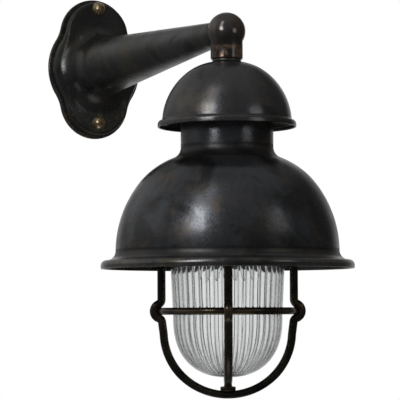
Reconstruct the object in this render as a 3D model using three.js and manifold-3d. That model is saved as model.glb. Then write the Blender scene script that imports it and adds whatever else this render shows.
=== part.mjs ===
// Ship lamp for a wall: lobed wall plate, tapered arm, ball elbow, cap, domed shade,
// glass jar under the shade, and a guard of two crossing hoops.
// Millimetres, +Z up. The wall face is the plane Y = 0 and the lamp reaches towards -Y.
// Z = 0 is the height of the ball elbow's centre.
import * as THREE from "three";
import { mergeVertices } from "three/addons/utils/BufferGeometryUtils.js";
import Module from "manifold-3d";

const wasm = await Module();
wasm.setup();

// Driving sizes shared by many pieces
const REACH = 305; // wall face to the lamp's upright axis
const GAP = 0.3; // clearance where one piece sits on or in another
const OVERRUN = 3; // how far a cutting tool runs past the faces it cuts
const TUBE_RADIUS = 5; // the threaded tube that carries wires and hangs the lamp
const TUBE_WALL = 1.3;
const TUBE_HOLE = TUBE_RADIUS + GAP;
const BOLT_RADIUS = 3; // the two screws in the wall plate
const BOLT_SPACING = 124.4;
const BOLT_HOLE = BOLT_RADIUS + GAP;

// Wall end: back plate, gasket and the casting that carries the arm
const plate = {
  bulgeInside: 8.4, // from each bolt in to the edge of the round bulge
  lobeInside: 26.2, // from each bolt in to the centre of its lobe
  lobeRadius: 40,
  hollowRadius: 41,
  drop: 2.8, // the plate's centre lies this far below the ball's
  thickness: 3.5,
  cableHoleRadius: 6.5,
  cableHoleSide: 17,
  slotLength: 14,
  slotWidth: 5.2,
  slotInside: 26.8, // from the bulge's edge in to the middle of a slot
};
const BULGE_RADIUS = BOLT_SPACING / 2 - plate.bulgeInside;
const LOBE_OFFSET = BOLT_SPACING / 2 - plate.lobeInside;
const SLOT_SIDE = BULGE_RADIUS - plate.slotInside;
const gasket = { inset: 6, thickness: 1.5, band: 9.8 };
const casting = {
  inset: 3.8,
  wall: 3.5,
  mouthWall: 5, // wall round the open back of the bulge
  lowTurn: 50, // degrees above level where the front lies nearest to the wall
  tipRadius: 11.6,
  taper: 0.0745, // how much the radius grows for each unit towards the wall
  throatLength: 26, // solid end of the arm that holds the nipple
  throatCone: 8,
};
// The casting's front: how far from the wall its edge starts to round, the edge's radius, and the
// degrees it turns before the hollow sweep to the arm; on the round bulge and on the lobes
const bulgeFront = { edgeStart: 6.5, edgeRadius: 12, edgeTurn: 60 };
const lobeFront = { edgeStart: 10.4, edgeRadius: 3.6, edgeTurn: 90 };
const LOBE_FACE = lobeFront.edgeStart + lobeFront.edgeRadius;
const FRONT_CHANGE = { from: 20, to: 54 }; // degrees above level where bulge passes into lobe
const nipple = { inArm: 22, inBall: 7.5 };
const screw = {
  headRadius: 7.5,
  headHeight: 6.6,
  slotWidth: 1.4,
  slotDepth: 1.8,
  turn: 20,
  tipGap: 0.8,
  clearance: 2.4, // flat face left between the head and the hollow sweep
};
const terminal = { width: 27, height: 13, depth: 12, notchWidth: 3, notchDepth: 5, screwRadius: 2 };
const earth = { below: 17, headRadius: 3.6, headHeight: 2.2, wireRadius: 1 };

// The head's stack, each piece resting on the one above
const ball = { radius: 18, stubRadius: 15.35, stubLength: 27.1, chamfer: 1, chamber: 9.5 };
const washer = { radius: 13.75, thickness: 2.2 };
const cap = {
  radius: 61.7,
  shoulderRadius: 49.8,
  shoulderTurn: 52, // degrees above level where the shoulder takes over from the dome
  wall: 1.5,
  coveRadius: 1.2,
  rimReach: 4.2, // how far the rim stands out beyond the dome
  lipRadius: 3.8, // outside of the rim, from its top down to its straight edge
  lipHeight: 6.6,
  height: 62.6,
};
const spacer = { radius: 7.2, length: 47.2 };
const shade = {
  neckRadius: 44,
  neckCorner: 4,
  neckFillet: 11,
  shoulderRadius: 75.8,
  shoulderTurn: 37, // degrees above level where the shoulder takes over from the dome
  radius: 105.9,
  domeDrop: 132.1, // top of the neck to the centre of the dome
  coveRise: 2.1,
  coveRadius: 8.8,
  edgeRadius: 5,
  brimReach: 14.1, // how far the brim stands out beyond the dome
  height: 146.9,
  wall: 1.6,
};
const gallery = {
  wall: 2.5,
  drumRadius: 36,
  drumCorner: 3,
  drumHeight: 55,
  seatDrop: 106.4, // top of the gallery to the seat of the globe
  seatThickness: 3,
  seatInner: 51,
  skirtRadius: 64.5,
  skirtWall: 3.3,
  skirtHeight: 6.5,
};
const galleryWasher = { radius: 11, thickness: 1.6 };
const galleryNut = { radius: 9.2, height: 6 };
const tube = { above: 8.5, length: 116 }; // starts this far below the ball's centre

// Lampholder and bulb
const holder = {
  radius: 21,
  capHeight: 17,
  capTopRadius: 12,
  capWall: 2.4,
  grip: 9, // how much of the hanging tube the holder's cap takes
  topThickness: 12,
  bodyHeight: 41,
  boreRadius: 14.8,
  shellWall: 0.7,
  shellHeight: 25,
  shellLip: 3,
  postRadius: 2.4,
  postHeight: 4.5,
  postSide: 10.5,
  contactRadius: 4,
  contactHeight: 3.6,
};
const bulb = {
  capRadius: 13.3,
  capHeight: 24,
  capWall: 0.9,
  buttonRadius: 4.5,
  buttonHeight: 2,
  glassRadius: 22.5,
  glassWall: 0.8,
  neckRadius: 11.8,
  neckLap: 6,
  length: 89, // contact button to the bottom of the glass
  stemRadius: 4.2,
  stemHeight: 26,
  filamentRadius: 0.6,
  filamentSpread: 9,
  filamentDrop: 10,
};

// Globe and guard
const globeGasket = { thickness: 2, inner: 51.5 };
const globe = {
  flangeRadius: 60.5,
  flangeThickness: 5,
  mouthRadius: 49.4,
  topRadius: 53.3,
  lowRadius: 51.8,
  wall: 3.6,
  endFillet: 2,
  bowlTop: 89, // flange top to where the bowl starts
  bowlHeight: 50.6,
  bowlPower: 2.12, // 2 would be a round bowl, more is fuller
};
const collar = { wall: 3.1, clearance: 0.7, lipInner: 54.4, lipThickness: 5.7, height: 15 };
const guard = {
  turn: -28, // degrees that the hoops are turned from the X axis
  legRadius: 62.6, // the ring lies on the same circle as the legs
  legThickness: 7.2, // across the hoop, towards the glass
  legWidth: 7.9, // along the ring
  ringThickness: 6.2,
  ringDrop: 66.2, // underside of the collar to the ring
  bendFillet: 5,
  bowlRadius: 59.6,
  bowlDrop: 86.5, // underside of the collar to the centre of the bottom curve
  bossRadius: 7.3,
  bossThickness: 4.2,
};
const wire = { radius: 1.05, side: 1.8, bend: 5.5 };
const acrossShares = [0.2, 0.6, 1]; // of the way from the tube's mouth to a post
const earthShares = { bow: 0.5, rise: 0.4 }; // where the earth wire bends along its run

// Heights below the ball's centre, worked out from the stack
const CAP_TOP = -(ball.stubLength + washer.thickness);
const SHADE_TOP = CAP_TOP - cap.wall - spacer.length;
const GALLERY_TOP = SHADE_TOP - shade.wall;
const TUBE_TOP = -tube.above;
const TUBE_BOTTOM = TUBE_TOP - tube.length;
const HOLDER_TOP = TUBE_BOTTOM + holder.grip;
const BODY_TOP = HOLDER_TOP - holder.capHeight;
const SOCKET_TOP = BODY_TOP - holder.topThickness;
const BULB_TOP = SOCKET_TOP - holder.contactHeight - 2 * GAP;
const SEAT = GALLERY_TOP - gallery.seatDrop;
const GLOBE_TOP = SEAT - globeGasket.thickness;
const LIP_TOP = GLOBE_TOP - globe.flangeThickness - GAP;
const COLLAR_BOTTOM = LIP_TOP - collar.lipThickness;
const ARM_LENGTH = Math.hypot(REACH, plate.drop);
const ARM_TILT = -Math.atan2(plate.drop, REACH);

// How finely round shapes are divided
const FINE = 32;
const MEDIUM = 20;
const SMALL = 10;
const CASTING_SIDES = 60; // directions in which the casting's front is drawn
const WIRE_SIDES = 5;

const finishes = {
  bronze: { color: 0x26262a, roughness: 0.42, metalness: 0.85 },
  brownBronze: { color: 0x33291f, roughness: 0.4, metalness: 0.85 },
  brass: { color: 0x9c7a48, roughness: 0.35, metalness: 0.9 },
  steel: { color: 0x8c8c8a, roughness: 0.4, metalness: 0.9 },
  glass: { color: 0xdfe5e4, roughness: 0.08, metalness: 0, transparent: true, opacity: 0.4 },
  rubber: { color: 0x141414, roughness: 0.8, metalness: 0 },
  porcelain: { color: 0xe8e4da, roughness: 0.3, metalness: 0 },
  enamel: { color: 0xd8d6cf, roughness: 0.45, metalness: 0.1 },
  brownWire: { color: 0x5a3018, roughness: 0.6, metalness: 0 },
  blueWire: { color: 0x1f3c6e, roughness: 0.6, metalness: 0 },
  greenWire: { color: 0x3c6a2c, roughness: 0.6, metalness: 0 },
  plastic: { color: 0xd9d3c3, roughness: 0.5, metalness: 0 },
};

// Points along an arc, from one angle to another in degrees
function arc(x, y, radius, from, to, steps) {
  return Array.from({ length: steps + 1 }, (_, i) => {
    const angle = THREE.MathUtils.degToRad(from + ((to - from) * i) / steps);
    return new THREE.Vector2(x + radius * Math.cos(angle), y + radius * Math.sin(angle));
  });
}

function at(x, y) {
  return new THREE.Vector2(x, y);
}

// A line through all the points given, without doubled ones
function joined(...parts) {
  const points = parts.flat();
  const tiny = GAP / 100;
  return points.filter((p, i) => i === 0 || p.distanceTo(points[i - 1]) > tiny);
}

// The same line moved to the right of its run by a distance, mitred at its corners
function beside(line, distance) {
  const side = (a, b) => at(b.y - a.y, a.x - b.x).normalize();
  return line.map((p, i) => {
    const before = i > 0 ? side(line[i - 1], p) : side(p, line[i + 1]);
    const after = i < line.length - 1 ? side(p, line[i + 1]) : before;
    const mitre = before.clone().add(after).normalize();
    return p.clone().addScaledVector(mitre, distance / mitre.dot(before));
  });
}

// A wall of even thickness to the right of a line, as a closed outline
function walled(line, thickness) {
  return [...line, ...beside(line, thickness).reverse(), line[0].clone()];
}

function rectangle(inner, outer, top, bottom) {
  return [at(inner, top), at(outer, top), at(outer, bottom), at(inner, bottom), at(inner, top)];
}

// Merged vertices, no flat triangles, faces pointing out
function closed(source) {
  const bare = source.index ? source.toNonIndexed() : source;
  bare.deleteAttribute("normal");
  bare.deleteAttribute("uv");
  const merged = mergeVertices(bare);
  const index = Array.from(merged.index.array);
  const kept = [];
  for (let i = 0; i < index.length; i += 3) {
    const [a, b, c] = index.slice(i, i + 3);
    if (a !== b && b !== c && c !== a) kept.push([a, b, c]);
  }
  const p = merged.attributes.position;
  const corner = (i) => new THREE.Vector3().fromBufferAttribute(p, i);
  const volume = kept.reduce((sum, [a, b, c]) => sum + corner(a).dot(corner(b).cross(corner(c))), 0);
  const facing = volume < 0 ? kept.map(([a, b, c]) => [a, c, b]) : kept;
  merged.setIndex(facing.flat());
  return merged;
}

// A shape turned about the Z axis from an outline of radius and height
function turned(outline, facets) {
  return closed(new THREE.LatheGeometry(outline, facets).rotateX(Math.PI / 2));
}

// A shape turned about the -Y axis from an outline of radius and distance from the wall
function turnedFromWall(outline, facets) {
  const points = outline.map((p) => at(p.x, -p.y));
  return closed(new THREE.LatheGeometry(points, facets));
}

// A flat shape in X and Z, carried towards -Y
function pushed(shape, depth, segments, bevel = {}) {
  const options = { depth, curveSegments: segments, bevelEnabled: false, ...bevel };
  return closed(new THREE.ExtrudeGeometry(shape, options).rotateX(Math.PI / 2));
}

function swept(curve, section, steps) {
  return closed(new THREE.ExtrudeGeometry(section, { extrudePath: curve, steps, curveSegments: 1 }));
}

function rod(radius, length, facets) {
  return closed(new THREE.CylinderGeometry(radius, radius, length, facets).rotateX(Math.PI / 2));
}

function rodFromWall(radius, length, facets) {
  return closed(new THREE.CylinderGeometry(radius, radius, length, facets));
}

function block(x, y, z) {
  return closed(new THREE.BoxGeometry(x, y, z));
}

function solidOf(geometry) {
  return new wasm.Manifold(
    new wasm.Mesh({
      numProp: 3,
      vertProperties: new Float32Array(geometry.attributes.position.array),
      triVerts: new Uint32Array(geometry.index.array),
    }),
  );
}

function geometryOf(solid) {
  const mesh = solid.getMesh();
  const geometry = new THREE.BufferGeometry();
  geometry.setAttribute("position", new THREE.BufferAttribute(mesh.vertProperties, 3));
  geometry.setIndex(new THREE.BufferAttribute(mesh.triVerts, 1));
  return geometry;
}

function cut(geometry, ...tools) {
  return geometryOf(tools.reduce((body, tool) => body.subtract(solidOf(tool)), solidOf(geometry)));
}

function fused(geometry, ...others) {
  return geometryOf(others.reduce((body, other) => body.add(solidOf(other)), solidOf(geometry)));
}

function piece(group, name, geometry, finish) {
  const mesh = new THREE.Mesh(geometry, new THREE.MeshStandardMaterial(finishes[finish]));
  mesh.name = name;
  group.add(mesh);
  return mesh;
}

// An oval section with an even number of sides
function oval(width, thickness, sides) {
  const points = Array.from({ length: sides }, (_, i) => {
    const angle = ((i + 0.5) / sides) * 2 * Math.PI;
    return at((width / 2) * Math.cos(angle), (thickness / 2) * Math.sin(angle));
  });
  return new THREE.Shape(points);
}

// The circles of the plate's outline: a round bulge and two lobes, and the centre of the
// hollow circle that touches the bulge and the upper lobe on the right
function plateCircles(inset) {
  const bulge = BULGE_RADIUS - inset;
  const lobe = plate.lobeRadius - inset;
  const hollow = plate.hollowRadius + inset;
  const toBulge = bulge + hollow;
  const toLobe = lobe + hollow;
  const turn = Math.acos((LOBE_OFFSET ** 2 + toBulge ** 2 - toLobe ** 2) / (2 * LOBE_OFFSET * toBulge));
  return { bulge, lobe, hollow, x: toBulge * Math.sin(turn), y: toBulge * Math.cos(turn) };
}

function plateOutline(inset) {
  const { bulge, lobe, hollow, x, y } = plateCircles(inset);
  const offset = LOBE_OFFSET;
  const a = Math.atan2(y, x);
  const b = Math.atan2(y - offset, x);
  const shape = new THREE.Shape();
  shape.absarc(0, 0, bulge, -a, a, false);
  shape.absarc(x, y, hollow, Math.PI + a, Math.PI + b, true);
  shape.absarc(0, offset, lobe, b, Math.PI - b, false);
  shape.absarc(-x, y, hollow, -b, -a, true);
  shape.absarc(0, 0, bulge, Math.PI - a, Math.PI + a, false);
  shape.absarc(-x, -y, hollow, a, b, true);
  shape.absarc(0, -offset, lobe, Math.PI + b, 2 * Math.PI - b, false);
  shape.absarc(x, -y, hollow, Math.PI - b, Math.PI - a, true);
  return shape;
}

// Distance from the plate's centre to its outline in a direction, read in one quarter
function outlineReach(angle, inset) {
  const { bulge, lobe, hollow, x, y } = plateCircles(inset);
  const level = Math.abs(Math.cos(angle));
  const upright = Math.abs(Math.sin(angle));
  const folded = Math.atan2(upright, level);
  const share = hollow / (lobe + hollow);
  if (folded < Math.atan2(y, x)) return bulge;
  if (folded < Math.atan2(y + (LOBE_OFFSET - y) * share, x * (1 - share))) {
    const along = x * level + y * upright;
    return along - Math.sqrt(Math.max(along ** 2 - x ** 2 - y ** 2 + hollow ** 2, 0));
  }
  const along = LOBE_OFFSET * upright;
  return along + Math.sqrt(along ** 2 - LOBE_OFFSET ** 2 + lobe ** 2);
}

// A round hole drawn as four quarter arcs, so that each is divided like the outline's
function roundHole(x, y, radius) {
  const path = new THREE.Path();
  for (let quarter = 4; quarter > 0; quarter -= 1) {
    const from = (quarter * Math.PI) / 2;
    path.absarc(x, y, radius, from, from - Math.PI / 2, true);
  }
  return path;
}

// Heights of the two plate screws, seen from the plate's centre
function boltHeights() {
  return [BOLT_SPACING / 2 + plate.drop, -BOLT_SPACING / 2 + plate.drop];
}

function boltHoles() {
  return boltHeights().map((height) => roundHole(0, height, BOLT_HOLE));
}

function wallSlot(side) {
  const half = (plate.slotLength - plate.slotWidth) / 2;
  const r = plate.slotWidth / 2;
  const path = new THREE.Path();
  path.absarc(side, half, r, 0, Math.PI, false);
  path.absarc(side, -half, r, Math.PI, 2 * Math.PI, false);
  return path;
}

function backPlate() {
  const shape = plateOutline(0);
  shape.holes.push(...boltHoles(), wallSlot(SLOT_SIDE), wallSlot(-SLOT_SIDE));
  shape.holes.push(roundHole(0, plate.cableHoleSide, plate.cableHoleRadius));
  return pushed(shape, plate.thickness, 4);
}

function plateGasket() {
  const shape = plateOutline(gasket.inset);
  const mouth = BULGE_RADIUS - gasket.inset - gasket.band;
  shape.holes.push(...boltHoles(), roundHole(0, 0, mouth));
  return pushed(shape, gasket.thickness, 3).translate(0, -plate.thickness, 0);
}

const CASTING_BACK = plate.thickness + gasket.thickness;

function armRadius(distance) {
  return casting.tipRadius + (ARM_LENGTH - ball.radius - distance) * casting.taper;
}

// Radius of the hollow sweep that leaves a slope at a point and touches the arm's side
function sweepRadius(x, y, turn) {
  const lean = Math.atan(casting.taper);
  const rise = casting.taper * (Math.sin(turn) - Math.sin(lean));
  return (x - armRadius(y)) / (Math.cos(lean) - Math.cos(turn) - rise);
}

// How much more sharply the sweep curves on the lobes, so that it ends short of the screw's head
function lobeTightening() {
  const edgeEnd = LOBE_OFFSET + plate.lobeRadius - casting.inset - lobeFront.edgeRadius;
  const headEnd = BOLT_SPACING / 2 - screw.headRadius - screw.clearance;
  const [free, short] = [edgeEnd, headEnd].map((x) => sweepRadius(x, LOBE_FACE, Math.PI / 2));
  return 1 / short - 1 / free;
}

// The casting's front in one direction as radius and distance from the wall: a straight wall,
// a rounded edge, a straight slope and a hollow sweep that touches the tapered arm
function castingLine(angle) {
  const { radToDeg, degToRad, smoothstep, lerp } = THREE.MathUtils;
  const upright = radToDeg(Math.atan2(Math.abs(Math.sin(angle)), Math.abs(Math.cos(angle))));
  const share = smoothstep(upright, FRONT_CHANGE.from, FRONT_CHANGE.to);
  const edge = lerp(bulgeFront.edgeRadius, lobeFront.edgeRadius, share);
  const start = lerp(bulgeFront.edgeStart, lobeFront.edgeStart, share);
  const degrees = lerp(bulgeFront.edgeTurn, lobeFront.edgeTurn, share);
  const turn = degToRad(degrees);
  const lean = Math.atan(casting.taper);
  const reach = outlineReach(angle, casting.inset);
  const edgeX = reach - edge * (1 - Math.cos(turn));
  const edgeY = start + edge * Math.sin(turn);
  const sweep = 1 / (1 / sweepRadius(edgeX, edgeY, turn) + share * lobeTightening());
  // The sweep's centre lies its own radius from the slope and from the arm's side
  const fromSlope = sweep + edgeX * Math.cos(turn) + edgeY * Math.sin(turn);
  const fromArm = armRadius(0) + sweep * (Math.cos(lean) + casting.taper * Math.sin(lean));
  const part = Math.cos(turn) * casting.taper - Math.sin(turn);
  const centreX = (fromSlope * casting.taper - Math.sin(turn) * fromArm) / part;
  const centreY = (Math.cos(turn) * fromArm - fromSlope) / part;
  return [
    at(reach, CASTING_BACK),
    ...arc(reach - edge, start, edge, 0, degrees, 4),
    ...arc(centreX, centreY, sweep, 180 + degrees, 180 + radToDeg(lean), 5),
    at(armRadius(ARM_LENGTH), ARM_LENGTH),
  ];
}

// The hollow in the arm: an even wall, then a throat for the nipple
function armHollow() {
  const lowest = castingLine(THREE.MathUtils.degToRad(casting.lowTurn));
  const mouth = BULGE_RADIUS - casting.inset - casting.mouthWall;
  const roof = beside(lowest.slice(1, -1), -casting.wall).filter((p) => p.x < mouth);
  const throatEnd = ARM_LENGTH - ball.radius - casting.throatLength;
  const throatStart = throatEnd - casting.throatCone;
  return joined(
    [at(0, CASTING_BACK - OVERRUN)],
    [at(mouth, CASTING_BACK - OVERRUN), at(mouth, LOBE_FACE - casting.wall)],
    roof,
    [at(armRadius(throatStart) - casting.wall, throatStart)],
    [at(TUBE_HOLE, throatEnd)],
    [at(TUBE_HOLE, ARM_LENGTH)],
    [at(0, ARM_LENGTH)],
  );
}

function alongArm(geometry) {
  return geometry.rotateX(ARM_TILT);
}

// The casting's outside: its line in each direction, joined round the arm's rising axis and closed
function castingBody() {
  const rise = plate.drop / REACH;
  const lines = Array.from({ length: CASTING_SIDES }, (_, i) => {
    const angle = (i / CASTING_SIDES) * 2 * Math.PI;
    return castingLine(angle).map((p) => [
      p.x * Math.cos(angle),
      -p.y,
      p.x * Math.sin(angle) + p.y * rise,
    ]);
  });
  const rows = lines[0].length;
  const ends = [CASTING_BACK, ARM_LENGTH].map((y) => [0, -y, y * rise]);
  const corners = [...lines.flat(), ...ends];
  const faces = [];
  lines.forEach((_, side) => {
    const here = side * rows;
    const next = ((side + 1) % CASTING_SIDES) * rows;
    for (let row = 0; row < rows - 1; row += 1) {
      faces.push(here + row, next + row, here + row + 1, next + row, next + row + 1, here + row + 1);
    }
    faces.push(corners.length - 2, next, here, corners.length - 1, here + rows - 1, next + rows - 1);
  });
  const geometry = new THREE.BufferGeometry();
  geometry.setAttribute("position", new THREE.Float32BufferAttribute(corners.flat(), 3));
  geometry.setIndex(faces);
  return geometry;
}

function armCasting() {
  const bolts = boltHeights().map((height) =>
    rodFromWall(BOLT_HOLE, 2 * LOBE_FACE + OVERRUN, SMALL).translate(0, -LOBE_FACE / 2, height),
  );
  return cut(
    castingBody(),
    alongArm(turnedFromWall(armHollow(), MEDIUM)),
    turned([...ballLine(GAP), at(0, -ball.stubLength)], MEDIUM).translate(0, -REACH, plate.drop),
    ...bolts,
  );
}

function armNipple() {
  const from = ARM_LENGTH - ball.radius - nipple.inArm;
  const to = ARM_LENGTH - ball.radius + nipple.inBall;
  return turnedFromWall(rectangle(TUBE_RADIUS - TUBE_WALL, TUBE_RADIUS, from, to), SMALL);
}

// Slotted dome-head screw, from its tip in the back plate to the top of its head
function plateScrew() {
  const tip = screw.tipGap;
  const crown = LOBE_FACE + screw.headHeight;
  const lift = (screw.headRadius ** 2 - screw.headHeight ** 2) / (2 * screw.headHeight);
  const round = screw.headHeight + lift;
  const from = THREE.MathUtils.radToDeg(Math.asin(lift / round));
  const profile = joined(
    [at(0, tip), at(BOLT_RADIUS, tip), at(BOLT_RADIUS, LOBE_FACE)],
    arc(0, LOBE_FACE - lift, round, from, 90, 4),
    [at(0, crown)],
  );
  profile[profile.length - 1].x = 0;
  const slot = block(3 * screw.headRadius, 2 * screw.slotDepth, screw.slotWidth);
  slot.rotateY(THREE.MathUtils.degToRad(screw.turn + 90)).translate(0, -crown, 0);
  return cut(turnedFromWall(profile, 16), slot);
}

function terminalBlock() {
  const w = terminal.width / 2;
  const h = terminal.height / 2;
  const n = terminal.notchWidth / 2;
  const shape = new THREE.Shape([
    at(-w, -h), at(-n, -h), at(-n, -h + terminal.notchDepth / 2), at(n, -h + terminal.notchDepth / 2),
    at(n, -h), at(w, -h), at(w, h), at(n, h), at(n, h - terminal.notchDepth / 2),
    at(-n, h - terminal.notchDepth / 2), at(-n, h), at(-w, h),
  ]);
  return pushed(shape, terminal.depth, 1).translate(0, -plate.thickness, 0);
}

function terminalScrew() {
  const start = plate.thickness + terminal.depth;
  return rodFromWall(terminal.screwRadius, terminal.screwRadius, SMALL)
    .translate(0, -start - terminal.screwRadius / 2, 0);
}

function earthScrew() {
  return rodFromWall(earth.headRadius, earth.headHeight, SMALL)
    .translate(SLOT_SIDE, -plate.thickness - earth.headHeight / 2, -earth.below);
}

function earthWire() {
  const front = plate.thickness + earth.headHeight / 2;
  const start = new THREE.Vector3(SLOT_SIDE - earth.headRadius - GAP, -front, -earth.below);
  const end = new THREE.Vector3(terminal.width / 4, -front - earth.headHeight, -terminal.height / 2 - GAP);
  const bow = new THREE.Vector3(end.x, -front - earth.headHeight, -earth.below);
  const outward = start.clone().lerp(bow, earthShares.bow);
  const upward = bow.clone().lerp(end, earthShares.rise);
  const curve = new THREE.CatmullRomCurve3([start, outward, upward, end]);
  return swept(curve, oval(2 * earth.wireRadius, 2 * earth.wireRadius, WIRE_SIDES), 10);
}

// A wire from the terminal block through the arm, round the elbow, down the tube and
// across to its post in the lampholder
function lampWire(side) {
  const start = new THREE.Vector3(
    (side * terminal.width) / 4,
    -(plate.thickness + terminal.depth + GAP),
    terminal.screwRadius + wire.radius + GAP,
  );
  const x = side * wire.side;
  const onAxis = (y) => (-y / REACH) * plate.drop;
  const step = REACH / 10;
  const easedIn = [0, 1, 2, 3, 4, 5, 6].map((n) => {
    const y = start.y - (n / 6) * 3 * step;
    const ease = THREE.MathUtils.smoothstep(n, 0, 6);
    const z = THREE.MathUtils.lerp(start.z, onAxis(y), ease);
    return new THREE.Vector3(THREE.MathUtils.lerp(start.x, x, ease), y, z);
  });
  const alongTheArm = [4, 5, 6, 7, 8, 9].map((n) => new THREE.Vector3(x, -n * step, onAxis(-n * step)));
  const elbow = arc(-REACH + wire.bend, plate.drop - wire.bend, wire.bend, 90, 180, 4);
  const low = plate.drop + TUBE_BOTTOM;
  const end = side * (holder.postSide - holder.postRadius - GAP);
  const endZ = plate.drop + BODY_TOP + holder.postHeight / 2;
  const down = [1, 2, 3, 4].map((n) => new THREE.Vector3(x, -REACH, (n * low) / 4));
  const across = acrossShares.map((share) => {
    const z = THREE.MathUtils.lerp(low, endZ, Math.sqrt(share));
    return new THREE.Vector3(THREE.MathUtils.lerp(x, end, share), -REACH, z);
  });
  const points = [
    ...easedIn,
    ...alongTheArm,
    ...elbow.map((p) => new THREE.Vector3(x, p.x, p.y)),
    ...down,
    ...across,
  ];
  const curve = new THREE.CatmullRomCurve3(points, false, "centripetal");
  return swept(curve, oval(2 * wire.radius, 2 * wire.radius, WIRE_SIDES), 60);
}

// The ball and its stub from the top down, grown by a clearance
function ballLine(extra) {
  const stubAngle = THREE.MathUtils.radToDeg(-Math.acos(ball.stubRadius / ball.radius));
  const line = [
    ...arc(0, 0, ball.radius + extra, 90, stubAngle, 8),
    at(ball.stubRadius + extra, -ball.stubLength + ball.chamfer),
    at(ball.stubRadius - ball.chamfer + extra, -ball.stubLength),
  ];
  line[0].x = 0;
  return line;
}

// Ball elbow with its stub, an open chamber for the wires and two tube holes
function ballElbow() {
  const holeAngle = THREE.MathUtils.radToDeg(-Math.acos(TUBE_HOLE / ball.chamber));
  const profile = joined(
    ballLine(0),
    [at(TUBE_HOLE, -ball.stubLength)],
    arc(0, 0, ball.chamber, holeAngle, 90, 4),
  );
  profile[profile.length - 1].x = 0;
  const side = rodFromWall(TUBE_HOLE, ball.radius + OVERRUN, SMALL);
  side.translate(0, (ball.radius + OVERRUN) / 2, 0).rotateX(ARM_TILT);
  return cut(turned(profile, MEDIUM), side);
}

function ringWasher() {
  const top = -ball.stubLength;
  return turned(rectangle(TUBE_HOLE, washer.radius, top, CAP_TOP), MEDIUM);
}

// A dome that turns into a tighter or wider shoulder near its top, from the top down
function domeLine(centre, radius, shoulder, joint, top, bottom, steps) {
  const a = THREE.MathUtils.degToRad(joint);
  const x = (radius - shoulder) * Math.cos(a);
  const y = centre + (radius - shoulder) * Math.sin(a);
  return [
    ...arc(x, y, shoulder, top, joint, steps[0]),
    ...arc(0, centre, radius, joint, bottom, steps[1]),
  ];
}

function capCentre() {
  const a = THREE.MathUtils.degToRad(cap.shoulderTurn);
  return CAP_TOP - cap.shoulderRadius - (cap.radius - cap.shoulderRadius) * Math.sin(a);
}

// Small spun cap: flat top, dome, cove and a wired bead round the rim
function lampCap() {
  const centre = capCentre();
  const bottom = CAP_TOP - cap.height;
  const rim = cap.radius + cap.rimReach;
  const lipX = rim - cap.lipRadius;
  const lipTop = bottom + cap.lipHeight;
  const coveY = lipTop + cap.coveRadius;
  const end = THREE.MathUtils.radToDeg(Math.asin((coveY - centre) / cap.radius));
  const dome = domeLine(centre, cap.radius, cap.shoulderRadius, cap.shoulderTurn, 90, end, [3, 5]);
  const edge = dome[dome.length - 1];
  const outer = joined([at(TUBE_HOLE, CAP_TOP)], dome);
  const inner = beside(outer, cap.wall);
  const profile = joined(
    outer,
    arc(edge.x + cap.coveRadius, coveY, cap.coveRadius, 180, 240, 1),
    arc(lipX, lipTop - cap.lipRadius, cap.lipRadius, 90, 0, 3),
    [at(rim, bottom), at(rim - cap.wall, bottom)],
    arc(lipX, lipTop - cap.lipRadius, cap.lipRadius - cap.wall, 0, 90, 2),
    inner.slice().reverse(),
    [at(TUBE_HOLE, CAP_TOP)],
  );
  return turned(profile, FINE);
}

function spacerTube() {
  const top = CAP_TOP - cap.wall;
  return turned(rectangle(TUBE_HOLE, spacer.radius, top, SHADE_TOP), SMALL);
}

// Big spun shade: neck, shoulder, dome, cove and a brim turned down at its edge
function lampShade() {
  const centre = SHADE_TOP - shade.domeDrop;
  const a = THREE.MathUtils.degToRad(shade.shoulderTurn);
  const shoulderX = (shade.radius - shade.shoulderRadius) * Math.cos(a);
  const shoulderY = centre + (shade.radius - shade.shoulderRadius) * Math.sin(a);
  const filletX = shade.neckRadius + shade.neckFillet;
  const reach = shade.shoulderRadius + shade.neckFillet;
  const filletY = shoulderY + Math.sqrt(reach ** 2 - (filletX - shoulderX) ** 2);
  const meet = THREE.MathUtils.radToDeg(Math.atan2(filletY - shoulderY, filletX - shoulderX));
  const end = THREE.MathUtils.radToDeg(Math.asin(shade.coveRise / shade.radius));
  const coveY = centre + shade.coveRise;
  const coveX = shade.radius * Math.cos(THREE.MathUtils.degToRad(end)) + shade.coveRadius;
  const edgeY = coveY - shade.coveRadius - shade.edgeRadius;
  const corner = shade.neckCorner;
  const brim = shade.radius + shade.brimReach;
  const outer = joined(
    [at(TUBE_HOLE, SHADE_TOP)],
    arc(shade.neckRadius - corner, SHADE_TOP - corner, corner, 90, 0, 2),
    arc(filletX, filletY, shade.neckFillet, 180, 180 + meet, 3),
    domeLine(centre, shade.radius, shade.shoulderRadius, shade.shoulderTurn, meet, end, [3, 6]),
    arc(coveX, coveY, shade.coveRadius, 180, 270, 3),
    arc(brim - shade.edgeRadius, edgeY, shade.edgeRadius, 90, 0, 3),
    [at(brim, SHADE_TOP - shade.height)],
  );
  return turned(walled(outer, shade.wall), FINE);
}

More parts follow.
